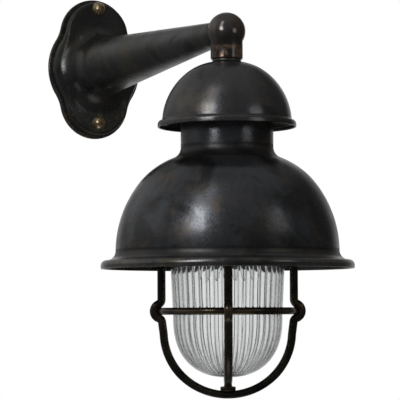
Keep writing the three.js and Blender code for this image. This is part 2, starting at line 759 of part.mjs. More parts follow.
// Bell that hangs inside the shade: drum, cone, flat seat and a skirt for the collar
function globeGallery() {
  const corner = gallery.drumCorner;
  const drumEnd = GALLERY_TOP - gallery.drumHeight;
  const seatTop = SEAT + gallery.seatThickness;
  const outer = [
    at(TUBE_HOLE, GALLERY_TOP),
    ...arc(gallery.drumRadius - corner, GALLERY_TOP - corner, corner, 90, 0, 2),
    at(gallery.drumRadius, drumEnd),
    at(gallery.seatInner + gallery.wall, seatTop),
    at(gallery.skirtRadius, seatTop),
    at(gallery.skirtRadius, SEAT - gallery.skirtHeight),
  ];
  const skirtInner = gallery.skirtRadius - gallery.skirtWall;
  const lining = beside(outer.slice(0, 6), gallery.wall).slice(0, 5).reverse();
  const profile = joined(
    outer,
    [at(skirtInner, SEAT - gallery.skirtHeight), at(skirtInner, SEAT), at(gallery.seatInner, SEAT)],
    [at(gallery.seatInner, seatTop)],
    lining,
    [at(TUBE_HOLE, GALLERY_TOP)],
  );
  return turned(profile, FINE);
}

function galleryWasherRing() {
  const top = GALLERY_TOP - gallery.wall;
  return turned(rectangle(TUBE_HOLE, galleryWasher.radius, top, top - galleryWasher.thickness), MEDIUM);
}

function galleryHexNut() {
  const top = GALLERY_TOP - gallery.wall - galleryWasher.thickness;
  const hex = new THREE.CylinderGeometry(galleryNut.radius, galleryNut.radius, galleryNut.height, 6);
  const body = closed(hex.rotateX(Math.PI / 2)).translate(0, 0, top - galleryNut.height / 2);
  const hole = rod(TUBE_HOLE, galleryNut.height + 2 * OVERRUN, SMALL);
  return cut(body, hole.translate(0, 0, top - galleryNut.height / 2));
}

function hangerTube() {
  return turned(rectangle(TUBE_RADIUS - TUBE_WALL, TUBE_RADIUS, TUBE_TOP, TUBE_BOTTOM), SMALL);
}

// Porcelain cap of the lampholder, screwed on the end of the tube
function holderCap() {
  const outer = [
    at(TUBE_HOLE, HOLDER_TOP),
    at(holder.capTopRadius, HOLDER_TOP),
    at(holder.radius, HOLDER_TOP - holder.capHeight / 2),
    at(holder.radius, BODY_TOP),
  ];
  return turned(walled(outer, holder.capWall), MEDIUM);
}

function holderBody() {
  const bottom = BODY_TOP - holder.bodyHeight;
  const profile = [
    at(0, BODY_TOP),
    at(holder.radius, BODY_TOP),
    at(holder.radius, bottom),
    at(holder.boreRadius, bottom),
    at(holder.boreRadius, SOCKET_TOP),
    at(0, SOCKET_TOP),
  ];
  return turned(profile, MEDIUM);
}

function holderShell() {
  const radius = holder.boreRadius - GAP;
  const top = SOCKET_TOP;
  const outer = [
    at(radius - holder.shellLip, top),
    at(radius, top),
    at(radius, top - holder.shellHeight),
  ];
  return turned(walled(outer, holder.shellWall), MEDIUM);
}

function holderPost(side) {
  const height = holder.postHeight;
  return rod(holder.postRadius, height, SMALL).translate(side * holder.postSide, 0, BODY_TOP + height / 2);
}

function centreContact() {
  const r = holder.contactRadius;
  const low = SOCKET_TOP - holder.contactHeight;
  return turned([at(0, SOCKET_TOP), at(r, SOCKET_TOP), at(r / 2, low), at(0, low)], SMALL);
}

const BULB_SHOULDER = BULB_TOP - bulb.buttonHeight;
const BULB_CAP_END = BULB_SHOULDER - bulb.capHeight;

function bulbCap() {
  const inner = bulb.capRadius - bulb.capWall;
  const profile = [
    at(0, BULB_TOP),
    at(bulb.buttonRadius, BULB_TOP),
    at(bulb.capRadius, BULB_SHOULDER),
    at(bulb.capRadius, BULB_CAP_END),
    at(inner, BULB_CAP_END),
    at(inner, BULB_SHOULDER - bulb.capWall),
    at(bulb.buttonRadius, BULB_TOP - bulb.capWall),
    at(0, BULB_TOP - bulb.capWall),
  ];
  return turned(profile, MEDIUM);
}

// Round bulb, open at its neck inside the cap
function bulbGlass() {
  const centre = BULB_TOP - bulb.length + bulb.glassRadius;
  const top = BULB_CAP_END + bulb.neckLap;
  const skin = (inset) => {
    const neck = bulb.neckRadius - inset;
    const round = bulb.glassRadius - inset;
    const end = THREE.MathUtils.radToDeg(Math.acos(neck / round));
    const points = [...arc(0, centre, round, -90, end, 6), at(neck, top)];
    points[0].x = 0;
    return points;
  };
  return turned([...skin(0), ...skin(bulb.glassWall).reverse()], MEDIUM);
}

// Glass stem with a flare that fills the neck
function bulbStem() {
  const top = BULB_CAP_END + bulb.neckLap;
  const flare = bulb.neckRadius - bulb.glassWall - GAP;
  const profile = [
    at(0, top),
    at(flare, top),
    at(bulb.stemRadius, top - bulb.stemHeight / 3),
    at(bulb.stemRadius, top - bulb.stemHeight),
    at(0, top - bulb.stemHeight),
  ];
  return turned(profile, MEDIUM);
}

// Filament bowed from the stem's end out to both sides
function bulbFilament() {
  const top = BULB_CAP_END + bulb.neckLap - bulb.stemHeight - GAP - bulb.filamentRadius;
  const x = bulb.filamentSpread;
  const low = top - bulb.filamentDrop;
  const point = (px, pz) => new THREE.Vector3(px, 0, pz);
  const middle = (top + low) / 2;
  const curve = new THREE.CatmullRomCurve3([
    point(-x, low), point(-x / 2, middle), point(0, top), point(x / 2, middle), point(x, low),
  ]);
  return swept(curve, oval(2 * bulb.filamentRadius, 2 * bulb.filamentRadius, WIRE_SIDES), 14);
}

function gasketRing() {
  return turned(rectangle(globeGasket.inner, globe.flangeRadius, SEAT, GLOBE_TOP), FINE);
}

// The bowl's radius share at a depth share, both from 0 to 1
function bowlShare(depth) {
  return (1 - depth ** globe.bowlPower) ** (1 / globe.bowlPower);
}

// One side of the jar, from the underside of its flange to the axis
function jarLine(inset, steps) {
  const bowlTop = GLOBE_TOP - globe.bowlTop;
  const under = GLOBE_TOP - globe.flangeThickness;
  const points = [at(globe.topRadius - inset, under - globe.endFillet)];
  for (let i = 0; i <= steps; i += 1) {
    const depth = Math.sin((i / steps) * (Math.PI / 2));
    const radius = (globe.lowRadius - inset) * bowlShare(depth);
    points.push(at(i === steps ? 0 : radius, bowlTop - (globe.bowlHeight - inset) * depth));
  }
  return points;
}

function glassGlobe() {
  const under = GLOBE_TOP - globe.flangeThickness;
  const profile = joined(
    jarLine(globe.wall, 6).reverse(),
    [at(globe.mouthRadius, GLOBE_TOP), at(globe.flangeRadius, GLOBE_TOP)],
    [at(globe.flangeRadius, under), at(globe.topRadius + globe.endFillet / 2, under)],
    jarLine(0, 8),
  );
  return turned(profile, FINE);
}

function guardCollar() {
  const inner = gallery.skirtRadius + collar.clearance;
  const outer = inner + collar.wall;
  const top = COLLAR_BOTTOM + collar.height;
  const profile = [
    at(inner, top),
    at(outer, top),
    at(outer, COLLAR_BOTTOM),
    at(collar.lipInner, COLLAR_BOTTOM),
    at(collar.lipInner, LIP_TOP),
    at(inner, LIP_TOP),
    at(inner, top),
  ];
  return turned(profile, FINE);
}

// A hoop's middle line: legs, a bend round the ring on each side, and a bottom curve
function hoopPoints(bottom) {
  const top = COLLAR_BOTTOM - GAP;
  const ring = COLLAR_BOTTOM - guard.ringDrop;
  const centre = COLLAR_BOTTOM - guard.bowlDrop;
  const bend = guard.ringThickness / 2 + GAP + guard.legThickness / 2;
  const fillet = guard.bendFillet;
  const rise = Math.sqrt((bend + fillet) ** 2 - fillet ** 2);
  const turn = THREE.MathUtils.radToDeg(Math.atan2(rise, fillet));
  const x = guard.legRadius;
  const lowX = guard.bowlRadius;
  const side = joined(
    Array.from({ length: 7 }, (_, i) => at(x, top + ((ring + rise - top) * i) / 6)),
    arc(x + fillet, ring + rise, fillet, 180, 180 + turn, 4),
    arc(x, ring, bend, turn, -turn, 10),
    arc(x + fillet, ring - rise, fillet, 180 - turn, 180, 4),
  );
  const bowl = Array.from({ length: 17 }, (_, i) => {
    const angle = (i / 16) * (Math.PI / 2);
    return at(lowX * Math.cos(angle), centre + (bottom - centre) * Math.sin(angle));
  });
  const right = joined(side, bowl).filter((p) => p.x > GAP);
  const left = right.map((p) => at(-p.x, p.y)).reverse();
  return [...right, at(0, bottom), ...left];
}

function hoop(bottom) {
  const points = hoopPoints(bottom).map((p) => new THREE.Vector3(p.x, 0, p.y));
  const curve = new THREE.CatmullRomCurve3(points, false, "centripetal");
  return swept(curve, oval(guard.legWidth, guard.legThickness, 8), 72);
}

function outerHoop() {
  return hoop(COLLAR_BOTTOM - guard.bowlDrop - guard.bowlRadius);
}

function bossTop() {
  const outerBottom = COLLAR_BOTTOM - guard.bowlDrop - guard.bowlRadius;
  return outerBottom + guard.legThickness / 2 + GAP + guard.bossThickness;
}

function innerHoop() {
  return hoop(bossTop() + GAP + guard.legThickness / 2).rotateZ(Math.PI / 2);
}

function crossingBoss() {
  const middle = bossTop() - guard.bossThickness / 2;
  return rod(guard.bossRadius, guard.bossThickness, SMALL).translate(0, 0, middle);
}

function guardRing() {
  const ring = COLLAR_BOTTOM - guard.ringDrop;
  const half = guard.ringThickness / 2;
  const profile = arc(guard.legRadius, ring, half, 22.5, 382.5, 8);
  profile[profile.length - 1].copy(profile[0]);
  return turned(profile, FINE);
}

const lamp = new THREE.Group();
const wallEnd = new THREE.Group();
const arm = new THREE.Group();
const head = new THREE.Group();
const guardGroup = new THREE.Group();
wallEnd.position.z = -plate.drop;
arm.rotation.x = ARM_TILT;
head.position.y = -REACH;
guardGroup.rotation.z = THREE.MathUtils.degToRad(guard.turn);
wallEnd.add(arm);
head.add(guardGroup);
lamp.add(wallEnd, head);

piece(wallEnd, "back_plate", backPlate(), "bronze");
piece(wallEnd, "plate_gasket", plateGasket(), "rubber");
piece(wallEnd, "arm_casting", armCasting(), "bronze");
["upper", "lower"].forEach((name, i) => {
  piece(wallEnd, `plate_screw_${name}`, plateScrew(), "brass").position.z = boltHeights()[i];
});
piece(wallEnd, "terminal_block", terminalBlock(), "plastic");
["left", "right"].forEach((name, i) => {
  const place = (i - 0.5) * (terminal.width / 2);
  piece(wallEnd, `terminal_screw_${name}`, terminalScrew(), "steel").position.x = place;
});
piece(wallEnd, "earth_screw", earthScrew(), "brass");
piece(wallEnd, "earth_wire", earthWire(), "greenWire");
piece(wallEnd, "live_wire", lampWire(-1), "brownWire");
piece(wallEnd, "neutral_wire", lampWire(1), "blueWire");
piece(arm, "arm_nipple", armNipple(), "steel");

piece(head, "ball_elbow", ballElbow(), "brownBronze");
piece(head, "ring_washer", ringWasher(), "bronze");
piece(head, "cap", lampCap(), "bronze");
piece(head, "spacer_tube", spacerTube(), "brass");
piece(head, "shade", lampShade(), "bronze");
piece(head, "hanger_tube", hangerTube(), "steel");
piece(head, "gallery", globeGallery(), "enamel");
piece(head, "gallery_washer", galleryWasherRing(), "steel");
piece(head, "gallery_nut", galleryHexNut(), "steel");
piece(head, "holder_cap", holderCap(), "porcelain");
piece(head, "holder_body", holderBody(), "porcelain");
piece(head, "holder_shell", holderShell(), "brass");
piece(head, "holder_post_left", holderPost(-1), "brass");
piece(head, "holder_post_right", holderPost(1), "brass");
piece(head, "centre_contact", centreContact(), "brass");
piece(head, "bulb_cap", bulbCap(), "brass");
piece(head, "bulb_glass", bulbGlass(), "glass");
piece(head, "bulb_stem", bulbStem(), "glass");
piece(head, "bulb_filament", bulbFilament(), "steel");
piece(head, "globe_gasket", gasketRing(), "rubber");
piece(head, "glass_globe", glassGlobe(), "glass");

piece(guardGroup, "guard_collar", guardCollar(), "brownBronze");
piece(guardGroup, "hoop_outer", outerHoop(), "brownBronze");
piece(guardGroup, "hoop_inner", innerHoop(), "brownBronze");
piece(guardGroup, "guard_ring", guardRing(), "brownBronze");
piece(guardGroup, "crossing_boss", crossingBoss(), "brownBronze");

export default lamp;
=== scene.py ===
"""Looks of a ship lamp for a wall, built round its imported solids.
Shapes are worked out in millimetres in the row frame and put into the meshes in metres."""

import math

import bmesh
import bpy
import numpy as np
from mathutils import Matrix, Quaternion, Vector
from mathutils.geometry import delaunay_2d_cdt


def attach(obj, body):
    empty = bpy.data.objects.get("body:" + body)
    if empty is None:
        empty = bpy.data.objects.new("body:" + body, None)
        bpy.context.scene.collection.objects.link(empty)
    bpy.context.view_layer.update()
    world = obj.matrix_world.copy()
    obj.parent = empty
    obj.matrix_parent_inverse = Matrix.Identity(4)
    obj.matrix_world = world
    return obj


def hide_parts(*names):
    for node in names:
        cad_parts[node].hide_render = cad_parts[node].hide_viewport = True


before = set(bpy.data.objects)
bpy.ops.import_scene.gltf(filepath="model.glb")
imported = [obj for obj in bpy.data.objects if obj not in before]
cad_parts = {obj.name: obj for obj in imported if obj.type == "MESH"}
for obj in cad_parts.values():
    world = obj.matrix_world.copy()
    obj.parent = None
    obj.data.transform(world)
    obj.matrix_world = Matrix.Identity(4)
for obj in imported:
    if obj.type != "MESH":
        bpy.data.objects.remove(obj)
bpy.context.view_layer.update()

MM = 0.001
REACH = 305.0  # wall face to the lamp's upright axis
DROP = 2.8  # the plate's centre lies this far below the ball's
GAP = 0.3
TUBE_HOLE = 5.3
AXIS = np.array([0.0, -REACH, 0.0])

# Heights below the ball's centre, as in the solids
STUB_END = -27.1
CAP_TOP = -29.3
SHADE_TOP = -78.0
GALLERY_TOP = -79.6
HOLDER_TOP = -115.5
BODY_TOP = -132.5
SOCKET_TOP = -144.5
BULB_TOP = -148.7
SEAT = -186.0
GLOBE_TOP = -188.0
LIP_TOP = -193.3
COLLAR_BOTTOM = -199.0
RING_HEIGHT = COLLAR_BOTTOM - 67.0
HOOP_CENTRE = COLLAR_BOTTOM - 86.5

GUARD_TURN = math.radians(-28)


# Curves and surfaces

def arc(x, y, radius, start, end, steps):
    """Circle points: centre plus radius times the cosine and sine of evenly spaced angles, in degrees."""
    a = np.radians(np.linspace(start, end, steps + 1))
    return np.stack([x + radius * np.cos(a), y + radius * np.sin(a)], 1)


def unit(rows):
    """Each row divided by its own length."""
    return rows / np.linalg.norm(rows, axis=1)[:, None]


def all_round(count):
    """Evenly spaced angles round a full turn, the last one short of the first."""
    return np.linspace(0, 2 * math.pi, count, endpoint=False)


def about_axis(radius, height, angle):
    """Points round the lamp's upright axis: radius times cosine, radius times sine, and height."""
    return np.stack([radius * np.cos(angle), radius * np.sin(angle), height], -1) + AXIS


def joined(*runs):
    """All the runs of points in one line, without doubled ones."""
    line = np.concatenate([np.atleast_2d(np.asarray(r, float)) for r in runs])
    apart = np.linalg.norm(np.diff(line, axis=0), axis=1) > 1e-4
    return line[np.concatenate([[True], apart])]


def ring_of(*runs):
    """A closed line: the runs joined, and the last point dropped where it meets the first."""
    line = joined(*runs)
    return line[:-1] if np.linalg.norm(line[0] - line[-1]) < 1e-4 else line


def beside(line, distance):
    """The line moved sideways to the right of its run: each point goes along the mitre of its two edges."""
    run = np.diff(line, axis=0)
    side = unit(np.stack([run[:, 1], -run[:, 0]], 1))
    before = np.concatenate([side[:1], side])
    after = np.concatenate([side, side[-1:]])
    mitre = unit(before + after)
    return line + mitre * (distance / np.sum(mitre * before, 1))[:, None]


def rounded(corners, steps=5):
    """A closed outline from corners (x, y, radius): each corner becomes an arc that touches both its edges,
    centred on the corner's bisector at radius over the sine of half its angle."""
    xyr = np.asarray(corners, float)
    p, radius = xyr[:, :2], xyr[:, 2]
    back = unit(np.roll(p, 1, 0) - p)
    on = unit(np.roll(p, -1, 0) - p)
    half = np.arccos(np.clip(np.sum(back * on, 1), -1, 1)) / 2
    reach = radius / np.tan(half)
    share = np.linspace(0, 1, steps + 1)[None, :, None]
    centre = p + unit(back + on) * (radius / np.sin(half))[:, None]
    a = p + back * reach[:, None] - centre
    b = p + on * reach[:, None] - centre
    sweep = math.pi - 2 * half
    sin = np.maximum(np.sin(sweep), 1e-6)[:, None, None]
    turn = sweep[:, None, None]
    way = (np.sin((1 - share) * turn) * a[:, None] + np.sin(share * turn) * b[:, None]) / sin
    return ring_of((centre[:, None] + way).reshape(-1, 2))


def convexity(profile, closed):
    """How strongly a profile bulges: its turning angle at each point over the length of its edges there."""
    before = np.roll(profile, 1, 0) if closed else np.concatenate([profile[:1], profile[:-1]])
    after = np.roll(profile, -1, 0) if closed else np.concatenate([profile[1:], profile[-1:]])
    a, b = profile - before, after - profile
    turn = np.arctan2(a[:, 0] * b[:, 1] - a[:, 1] * b[:, 0], np.sum(a * b, 1))
    length = (np.linalg.norm(a, axis=1) + np.linalg.norm(b, axis=1)) / 2
    return np.abs(turn) / np.maximum(length, 0.4)


def grid_faces(rows, columns, wrap_rows):
    """Quads between neighbouring rows and columns of a grid whose columns close on themselves."""
    i = np.arange(rows if wrap_rows else rows - 1)[:, None]
    j = np.arange(columns)[None, :]
    here, there = i * columns, ((i + 1) % rows) * columns
    on = (j + 1) % columns
    return np.stack([here + j, here + on, there + on, there + j], -1).reshape(-1, 4)


def skin(rings, wrap):
    """Faces over rings of points, an array of rows by columns by 3. Where wrap is false, the first and last
    ring are each closed by a fan of triangles to their middle point."""
    rows, columns = rings.shape[:2]
    points = rings.reshape(-1, 3)
    faces = grid_faces(rows, columns, wrap).tolist()
    if not wrap:
        ends = rings[[0, -1]].mean(1)
        points = np.concatenate([points, ends])
        j = np.arange(columns)
        on = (j + 1) % columns
        last = (rows - 1) * columns
        first_fan = np.stack([on, j, np.full(columns, rows * columns)], 1)
        last_fan = np.stack([last + j, last + on, np.full(columns, rows * columns + 1)], 1)
        faces += first_fan.tolist() + last_fan.tolist()
    return points, faces


def turned(profile, around=128):
    """A profile of radius and height carried round the lamp's upright axis: x is radius times cosine,
    y is radius times sine. A profile that starts on the axis is closed there, any other is a closed ring."""
    solid = profile[0, 0] < 1e-6
    body = profile[1:-1] if solid else profile
    t = all_round(around)
    r, h = body[:, :1], body[:, 1:]
    rings = about_axis(r, h + 0 * t, t)
    points, faces = skin(rings, not solid)
    rub = np.repeat(convexity(body, not solid), around)
    if solid:
        rub = np.concatenate([rub, [0, 0]])
    return points, faces, rub


def outward(points, faces):
    """The faces turned so that the volume they enclose, a sum of corner tetrahedra, is positive."""
    total = 0.0
    for size in {len(f) for f in faces}:
        f = np.array([face for face in faces if len(face) == size])
        for k in range(1, size - 1):
            a, b, c = points[f[:, 0]], points[f[:, k]], points[f[:, k + 1]]
            total += np.sum(a * np.cross(b, c))
    return faces if total > 0 else [face[::-1] for face in faces]


CREASE = 38  # degrees between faces from which an edge is drawn sharp
RUB_FROM, RUB_SPAN = 0.05, 0.3  # bulge at which rubbing starts, and from there to fully bare


def piece(name, shape, finish, body, node, crease=CREASE):
    """Puts points in millimetres and faces into a mesh, with the rub attribute that the finishes read."""
    points, faces, rub = (*shape, None)[:3]
    mesh = bpy.data.meshes.new(name)
    mesh.from_pydata((points * MM).tolist(), [], outward(points, faces))
    mesh.validate()
    worn = mesh.attributes.new("rub", "FLOAT", "POINT")
    if rub is not None:
        worn.data.foreach_set("value", np.clip((rub - RUB_FROM) / RUB_SPAN, 0, 1).astype(np.float32))
    mesh.shade_smooth()
    mesh.set_sharp_from_angle(angle=math.radians(crease))
    mesh.materials.append(finish)
    made = bpy.data.objects.new(name, mesh)
    bpy.context.scene.collection.objects.link(made)
    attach(made, body)
    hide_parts(node)
    return made


# Finishes

def shade_of(red, green, blue):
    """A screen colour of 0 to 255 as the linear light that the shader takes."""
    c = np.array([red, green, blue]) / 255
    linear = np.where(c <= 0.04045, c / 12.92, ((c + 0.055) / 1.055) ** 2.4)
    return (*linear.tolist(), 1.0)


def feed(tree, socket, value):
    """Links an output into a socket, or sets the socket to a plain value."""
    if isinstance(value, bpy.types.NodeSocket):
        tree.links.new(value, socket)
    else:
        socket.default_value = value


def add_node(tree, kind, inputs=(), **settings):
    """A new shader node with its settings, and its inputs linked or set to plain values."""
    node = tree.nodes.new("ShaderNode" + kind)
    for setting, value in settings.items():
        setattr(node, setting, value)
    for socket, value in dict(inputs).items():
        feed(tree, node.inputs[socket], value)
    return node


def smooth_step(tree, value, low, high, to_low=0.0, to_high=1.0):
    """A value spread from one range to another, easing in and out at its ends."""
    inputs = {"Value": value, "From Min": low, "From Max": high, "To Min": to_low, "To Max": to_high}
    return add_node(tree, "MapRange", inputs, interpolation_type="SMOOTHSTEP").outputs["Result"]


class Finish:
    """A material and its shader, with short ways to add the nodes that vary it."""

    def __init__(self, name, **sockets):
        self.material = bpy.data.materials.new(name)
        self.material.use_nodes = True
        self.tree = self.material.node_tree
        self.shader = self.tree.nodes["Principled BSDF"]
        for socket, value in sockets.items():
            self.shader.inputs[socket.replace("_", " ")].default_value = value
        self.place = self.add("TexCoord").outputs["Object"]

    def add(self, kind, inputs=(), **settings):
        return add_node(self.tree, kind, inputs, **settings)

    def noise(self, scale, detail=4.0, rough=0.55, stretch=(1, 1, 1), shift=(0, 0, 0), warp=0.0):
        at = self.add("Mapping", {"Vector": self.place, "Scale": stretch, "Location": shift})
        inputs = {"Vector": at.outputs["Vector"], "Scale": scale, "Detail": detail, "Roughness": rough,
                  "Distortion": warp}
        return self.add("TexNoise", inputs).outputs[0]

    def span(self, value, low, high, to_low=0.0, to_high=1.0):
        return smooth_step(self.tree, value, low, high, to_low, to_high)

    def sums(self, operation, a, b):
        return self.add("Math", {0: a, 1: b}, operation=operation, use_clamp=True).outputs[0]

    def times(self, a, b):
        return self.sums("MULTIPLY", a, b)

    def plus(self, a, b):
        return self.sums("ADD", a, b)

    def mix(self, share, a, b):
        return self.add("Mix", {0: share, 6: a, 7: b}, data_type="RGBA").outputs[2]

    def bands(self, heights, fade=2.5):
        """One between each pair of heights in millimetres, fading to nothing just outside them."""
        total, height = 0.0, self.add("SeparateXYZ", {0: self.place}).outputs["Z"]
        for low, top in heights:
            rise = self.span(height, (low - fade) * MM, low * MM)
            fall = self.span(height, top * MM, (top + fade) * MM, 1, 0)
            total = self.plus(self.times(rise, fall), total)
        return total

    def attribute(self, name):
        return self.add("Attribute", attribute_name=name).outputs["Fac"]

    def bump(self, height, distance, under=None):
        inputs = {"Distance": distance * MM, "Height": height}
        if under is not None:
            inputs["Normal"] = under
        return self.add("Bump", inputs).outputs["Normal"]

    def use(self, **links):
        for socket, value in links.items():
            feed(self.tree, self.shader.inputs[socket.replace("_", " ")], value)
        return self.material


# How dark and how much rougher the painted shade in coves and fillets is, and how much rougher the wear
# patches are
PAINTED_SHADE_SHARE, PAINTED_SHADE_ROUGH, WEAR_ROUGH = 0.8, 0.2, 0.3


def patina(name, dark, cool, warm, rubbed, rub_share, roughness, painted_shade_bands=(), wear_and_sheen=None):
    """Dark chemical patina on a copper alloy: broad cool clouds and near-black blots, warm stains, metal
    rubbed bare where the surface bulges, painted shade that darkens and dulls the coves and fillets between
    pairs of heights, patches of wear of another tone between two heights, which on the stub also serve as a
    painted sheen, and a faintly pitted, wavy skin."""
    f = Finish(name, Metallic=0.85)
    dark, cool, warm, rubbed = (shade_of(*c) for c in (dark, cool, warm, rubbed))
    clouds = f.noise(15, detail=5, rough=0.6, warp=0.6)
    blots = f.noise(23, detail=4, rough=0.55, shift=(1, 5, 2), warp=0.8)
    stains = f.noise(34, detail=6, rough=0.62, shift=(3, 1, 2))
    streaks = f.noise(60, detail=4, stretch=(1, 1, 0.22), shift=(7, 3, 5))
    specks = f.noise(420, detail=3, rough=0.7)
    deep = tuple(0.55 * c for c in dark[:3]) + (1.0,)
    tone = f.mix(f.span(clouds, 0.42, 0.58), dark, cool)
    tone = f.mix(f.span(stains, 0.5, 0.68, 0, 0.9), tone, warm)
    tone = f.mix(f.span(blots, 0.52, 0.66, 0, 0.75), tone, deep)
    tone = f.mix(f.span(streaks, 0.52, 0.75, 0, 0.5), tone, dark)
    bare = f.times(f.attribute("rub"), f.span(stains, 0.35, 0.6, 0.15, 1.0))
    bare = f.times(bare, rub_share)
    grain = f.span(specks, 0.3, 0.7, -0.05, 0.05)
    rough = f.plus(f.span(stains, 0.3, 0.7, roughness - 0.06, roughness + 0.1), grain)
    rough = f.sums("SUBTRACT", rough, f.times(bare, 0.15))
    # Painted shade: between the given heights the tone is darkened towards the deep tone and made matter
    if painted_shade_bands:
        painted_shade = f.times(f.bands(painted_shade_bands), PAINTED_SHADE_SHARE)
        tone = f.mix(painted_shade, tone, deep)
        rough = f.plus(rough, f.times(painted_shade, PAINTED_SHADE_ROUGH))
    # Wear patches of another tone between two heights; on the stub they also serve as a painted sheen
    if wear_and_sheen:
        flecks = f.noise(wear_and_sheen["scale"], detail=3, rough=0.6, shift=(4, 4, 1))
        patches = f.times(f.bands(wear_and_sheen["heights"]), f.span(flecks, *wear_and_sheen["spread"], 0, 0.7))
        tone = f.mix(patches, tone, shade_of(*wear_and_sheen["tone"]))
        rough = f.plus(rough, f.times(patches, WEAR_ROUGH))
    tone = f.mix(bare, tone, rubbed)
    wave = f.bump(f.noise(26, detail=2), 0.5, f.bump(specks, 0.05))
    return f.use(Base_Color=tone, Roughness=rough, Normal=wave)


LOBE_WEAR = {"heights": [(-80, -50)], "tone": (176, 148, 104), "scale": 230, "spread": (0.6, 0.7)}
# Copper-toned wear round the stub, lighter in patches; it also serves as a painted sheen that lightens the
# stub
STUB_WEAR_AND_SHEEN = {"heights": [(-28, -16)], "tone": (172, 142, 118), "scale": 110, "spread": (0.4, 0.62)}
# Heights of the painted shade in the brim's cove and in the fillet under the neck
BRIM_COVE, NECK_FILLET = (-214, -209), (-121, -110)

# Each with its dark, cool, warm and rubbed tones, the share of rubbing, and the roughness
SPUN_BRONZE = patina("spun_bronze", (66, 66, 66), (86, 88, 92), (95, 87, 79), (196, 186, 168), 0.3, 0.25,
                     painted_shade_bands=(BRIM_COVE, NECK_FILLET))
CAP_BRONZE = patina("cap_bronze", (80, 80, 79), (92, 92, 95), (102, 97, 90), (150, 132, 110), 0.1, 0.24)
CAST_BRONZE = patina("cast_bronze", (72, 74, 71), (84, 86, 84), (94, 84, 70), (150, 132, 108), 0.45, 0.26,
                     wear_and_sheen=LOBE_WEAR)
ELBOW_BRONZE = patina("elbow_bronze", (92, 86, 80), (104, 100, 98), (130, 96, 78), (160, 122, 96), 0.3, 0.15,
                      wear_and_sheen=STUB_WEAR_AND_SHEEN)
GUARD_BRONZE = patina("guard_bronze", (54, 53, 47), (68, 66, 58), (82, 72, 60), (158, 138, 112), 0.4, 0.22)


def worn_brass():
    """Yellow brass with brown dirt in cloudy patches and fine scratches."""
    f = Finish("worn_brass", Metallic=0.9)
    dirt = f.noise(260, detail=5, rough=0.65)
    scratches = f.noise(300, detail=2, stretch=(1, 6, 1), shift=(2, 2, 2))
    tone = f.mix(f.span(dirt, 0.38, 0.62), shade_of(226, 206, 168), shade_of(140, 116, 84))
    rough = f.span(dirt, 0.3, 0.7, 0.2, 0.38)
    return f.use(Base_Color=tone, Roughness=rough, Normal=f.bump(scratches, 0.04))


def plain(name, base, second, scale, roughness, metallic=0.0, depth=0.03, **sockets):
    """A base colour clouded by a second one, with roughness and a shallow bump from the same noise."""
    f = Finish(name, Metallic=metallic, **sockets)
    cloud = f.noise(scale, detail=5, rough=0.6)
    fine = f.noise(scale * 9, detail=2)
    tone = f.mix(f.span(cloud, 0.3, 0.7), shade_of(*base), shade_of(*second))
    rough = f.span(cloud, 0.3, 0.7, roughness - 0.05, roughness + 0.08)
    return f.use(Base_Color=tone, Roughness=rough, Normal=f.bump(fine, depth))


def striped_wire(name, base, stripe):
    """Wire insulation with patches of a second colour, from noise spread to a near-hard edge."""
    f = Finish(name)
    fade = f.noise(900, detail=2)
    bands = f.span(f.noise(160, detail=0, stretch=(1, 1, 2)), 0.48, 0.52)
    tone = f.mix(bands, shade_of(*base), shade_of(*stripe))
    return f.use(Base_Color=tone, Roughness=f.span(fade, 0.3, 0.7, 0.4, 0.55), Normal=f.bump(fade, 0.02))


def clear_glass(name, tint, roughness, wave):
    """Pressed glass: full transmission, a faint tint and a slow unevenness of the surface."""
    f = Finish(name, Roughness=roughness, IOR=1.5, Transmission_Weight=1.0)
    clouds = f.noise(40, detail=3)
    tint = shade_of(*tint)
    lighter = tuple(min(1.0, c * 1.03) for c in tint[:3]) + (1.0,)
    tone = f.mix(f.span(clouds, 0.3, 0.7), tint, lighter)
    return f.use(Base_Color=tone, Normal=f.bump(f.noise(55, detail=2), wave))


WORN_BRASS = worn_brass()
DULL_RING = plain("dull_ring", (132, 134, 128), (98, 100, 96), 120, 0.34, 0.9)
PLATED_STEEL = plain("plated_steel", (168, 168, 164), (126, 126, 122), 120, 0.36, 0.95)
TUNGSTEN = plain("tungsten", (120, 120, 122), (86, 86, 90), 500, 0.4, 0.9)
PALE_ENAMEL = plain("pale_enamel", (206, 203, 194), (188, 184, 172), 30, 0.36)
PORCELAIN = plain("white_porcelain", (232, 229, 220), (218, 214, 202), 40, 0.16)
RUBBER = plain("black_rubber", (30, 29, 29), (42, 40, 39), 90, 0.72, depth=0.06)
CREAM_PLASTIC = plain("cream_plastic", (214, 208, 190), (198, 190, 168), 80, 0.44)
BROWN_WIRE = striped_wire("brown_wire", (92, 50, 28), (78, 42, 24))
BLUE_WIRE = striped_wire("blue_wire", (34, 62, 128), (28, 52, 110))
GREEN_WIRE = striped_wire("green_wire", (58, 128, 48), (204, 192, 44))
JAR_GLASS = clear_glass("ribbed_glass", (242, 243, 243), 0.0, 0.05)
BULB_GLASS = clear_glass("clear_glass", (246, 247, 247), 0.0, 0.02)

CARRIED = (
    (RUBBER, "plate_gasket"), (CREAM_PLASTIC, "terminal_block"), (GREEN_WIRE, "earth_wire"),
    (BROWN_WIRE, "live_wire"), (BLUE_WIRE, "neutral_wire"), (BULB_GLASS, "bulb_stem"),
    (TUNGSTEN, "bulb_filament"), (PLATED_STEEL, "terminal_screw_left terminal_screw_right"),
    (PLATED_STEEL, "arm_nipple hanger_tube gallery_washer gallery_nut"),
    (WORN_BRASS, "earth_screw spacer_tube holder_shell holder_post_left holder_post_right centre_contact"),
)
for finish, nodes in CARRIED:
    for node in nodes.split():
        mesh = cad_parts[node].data
        mesh.materials.clear()
        mesh.materials.append(finish)


# Wall end

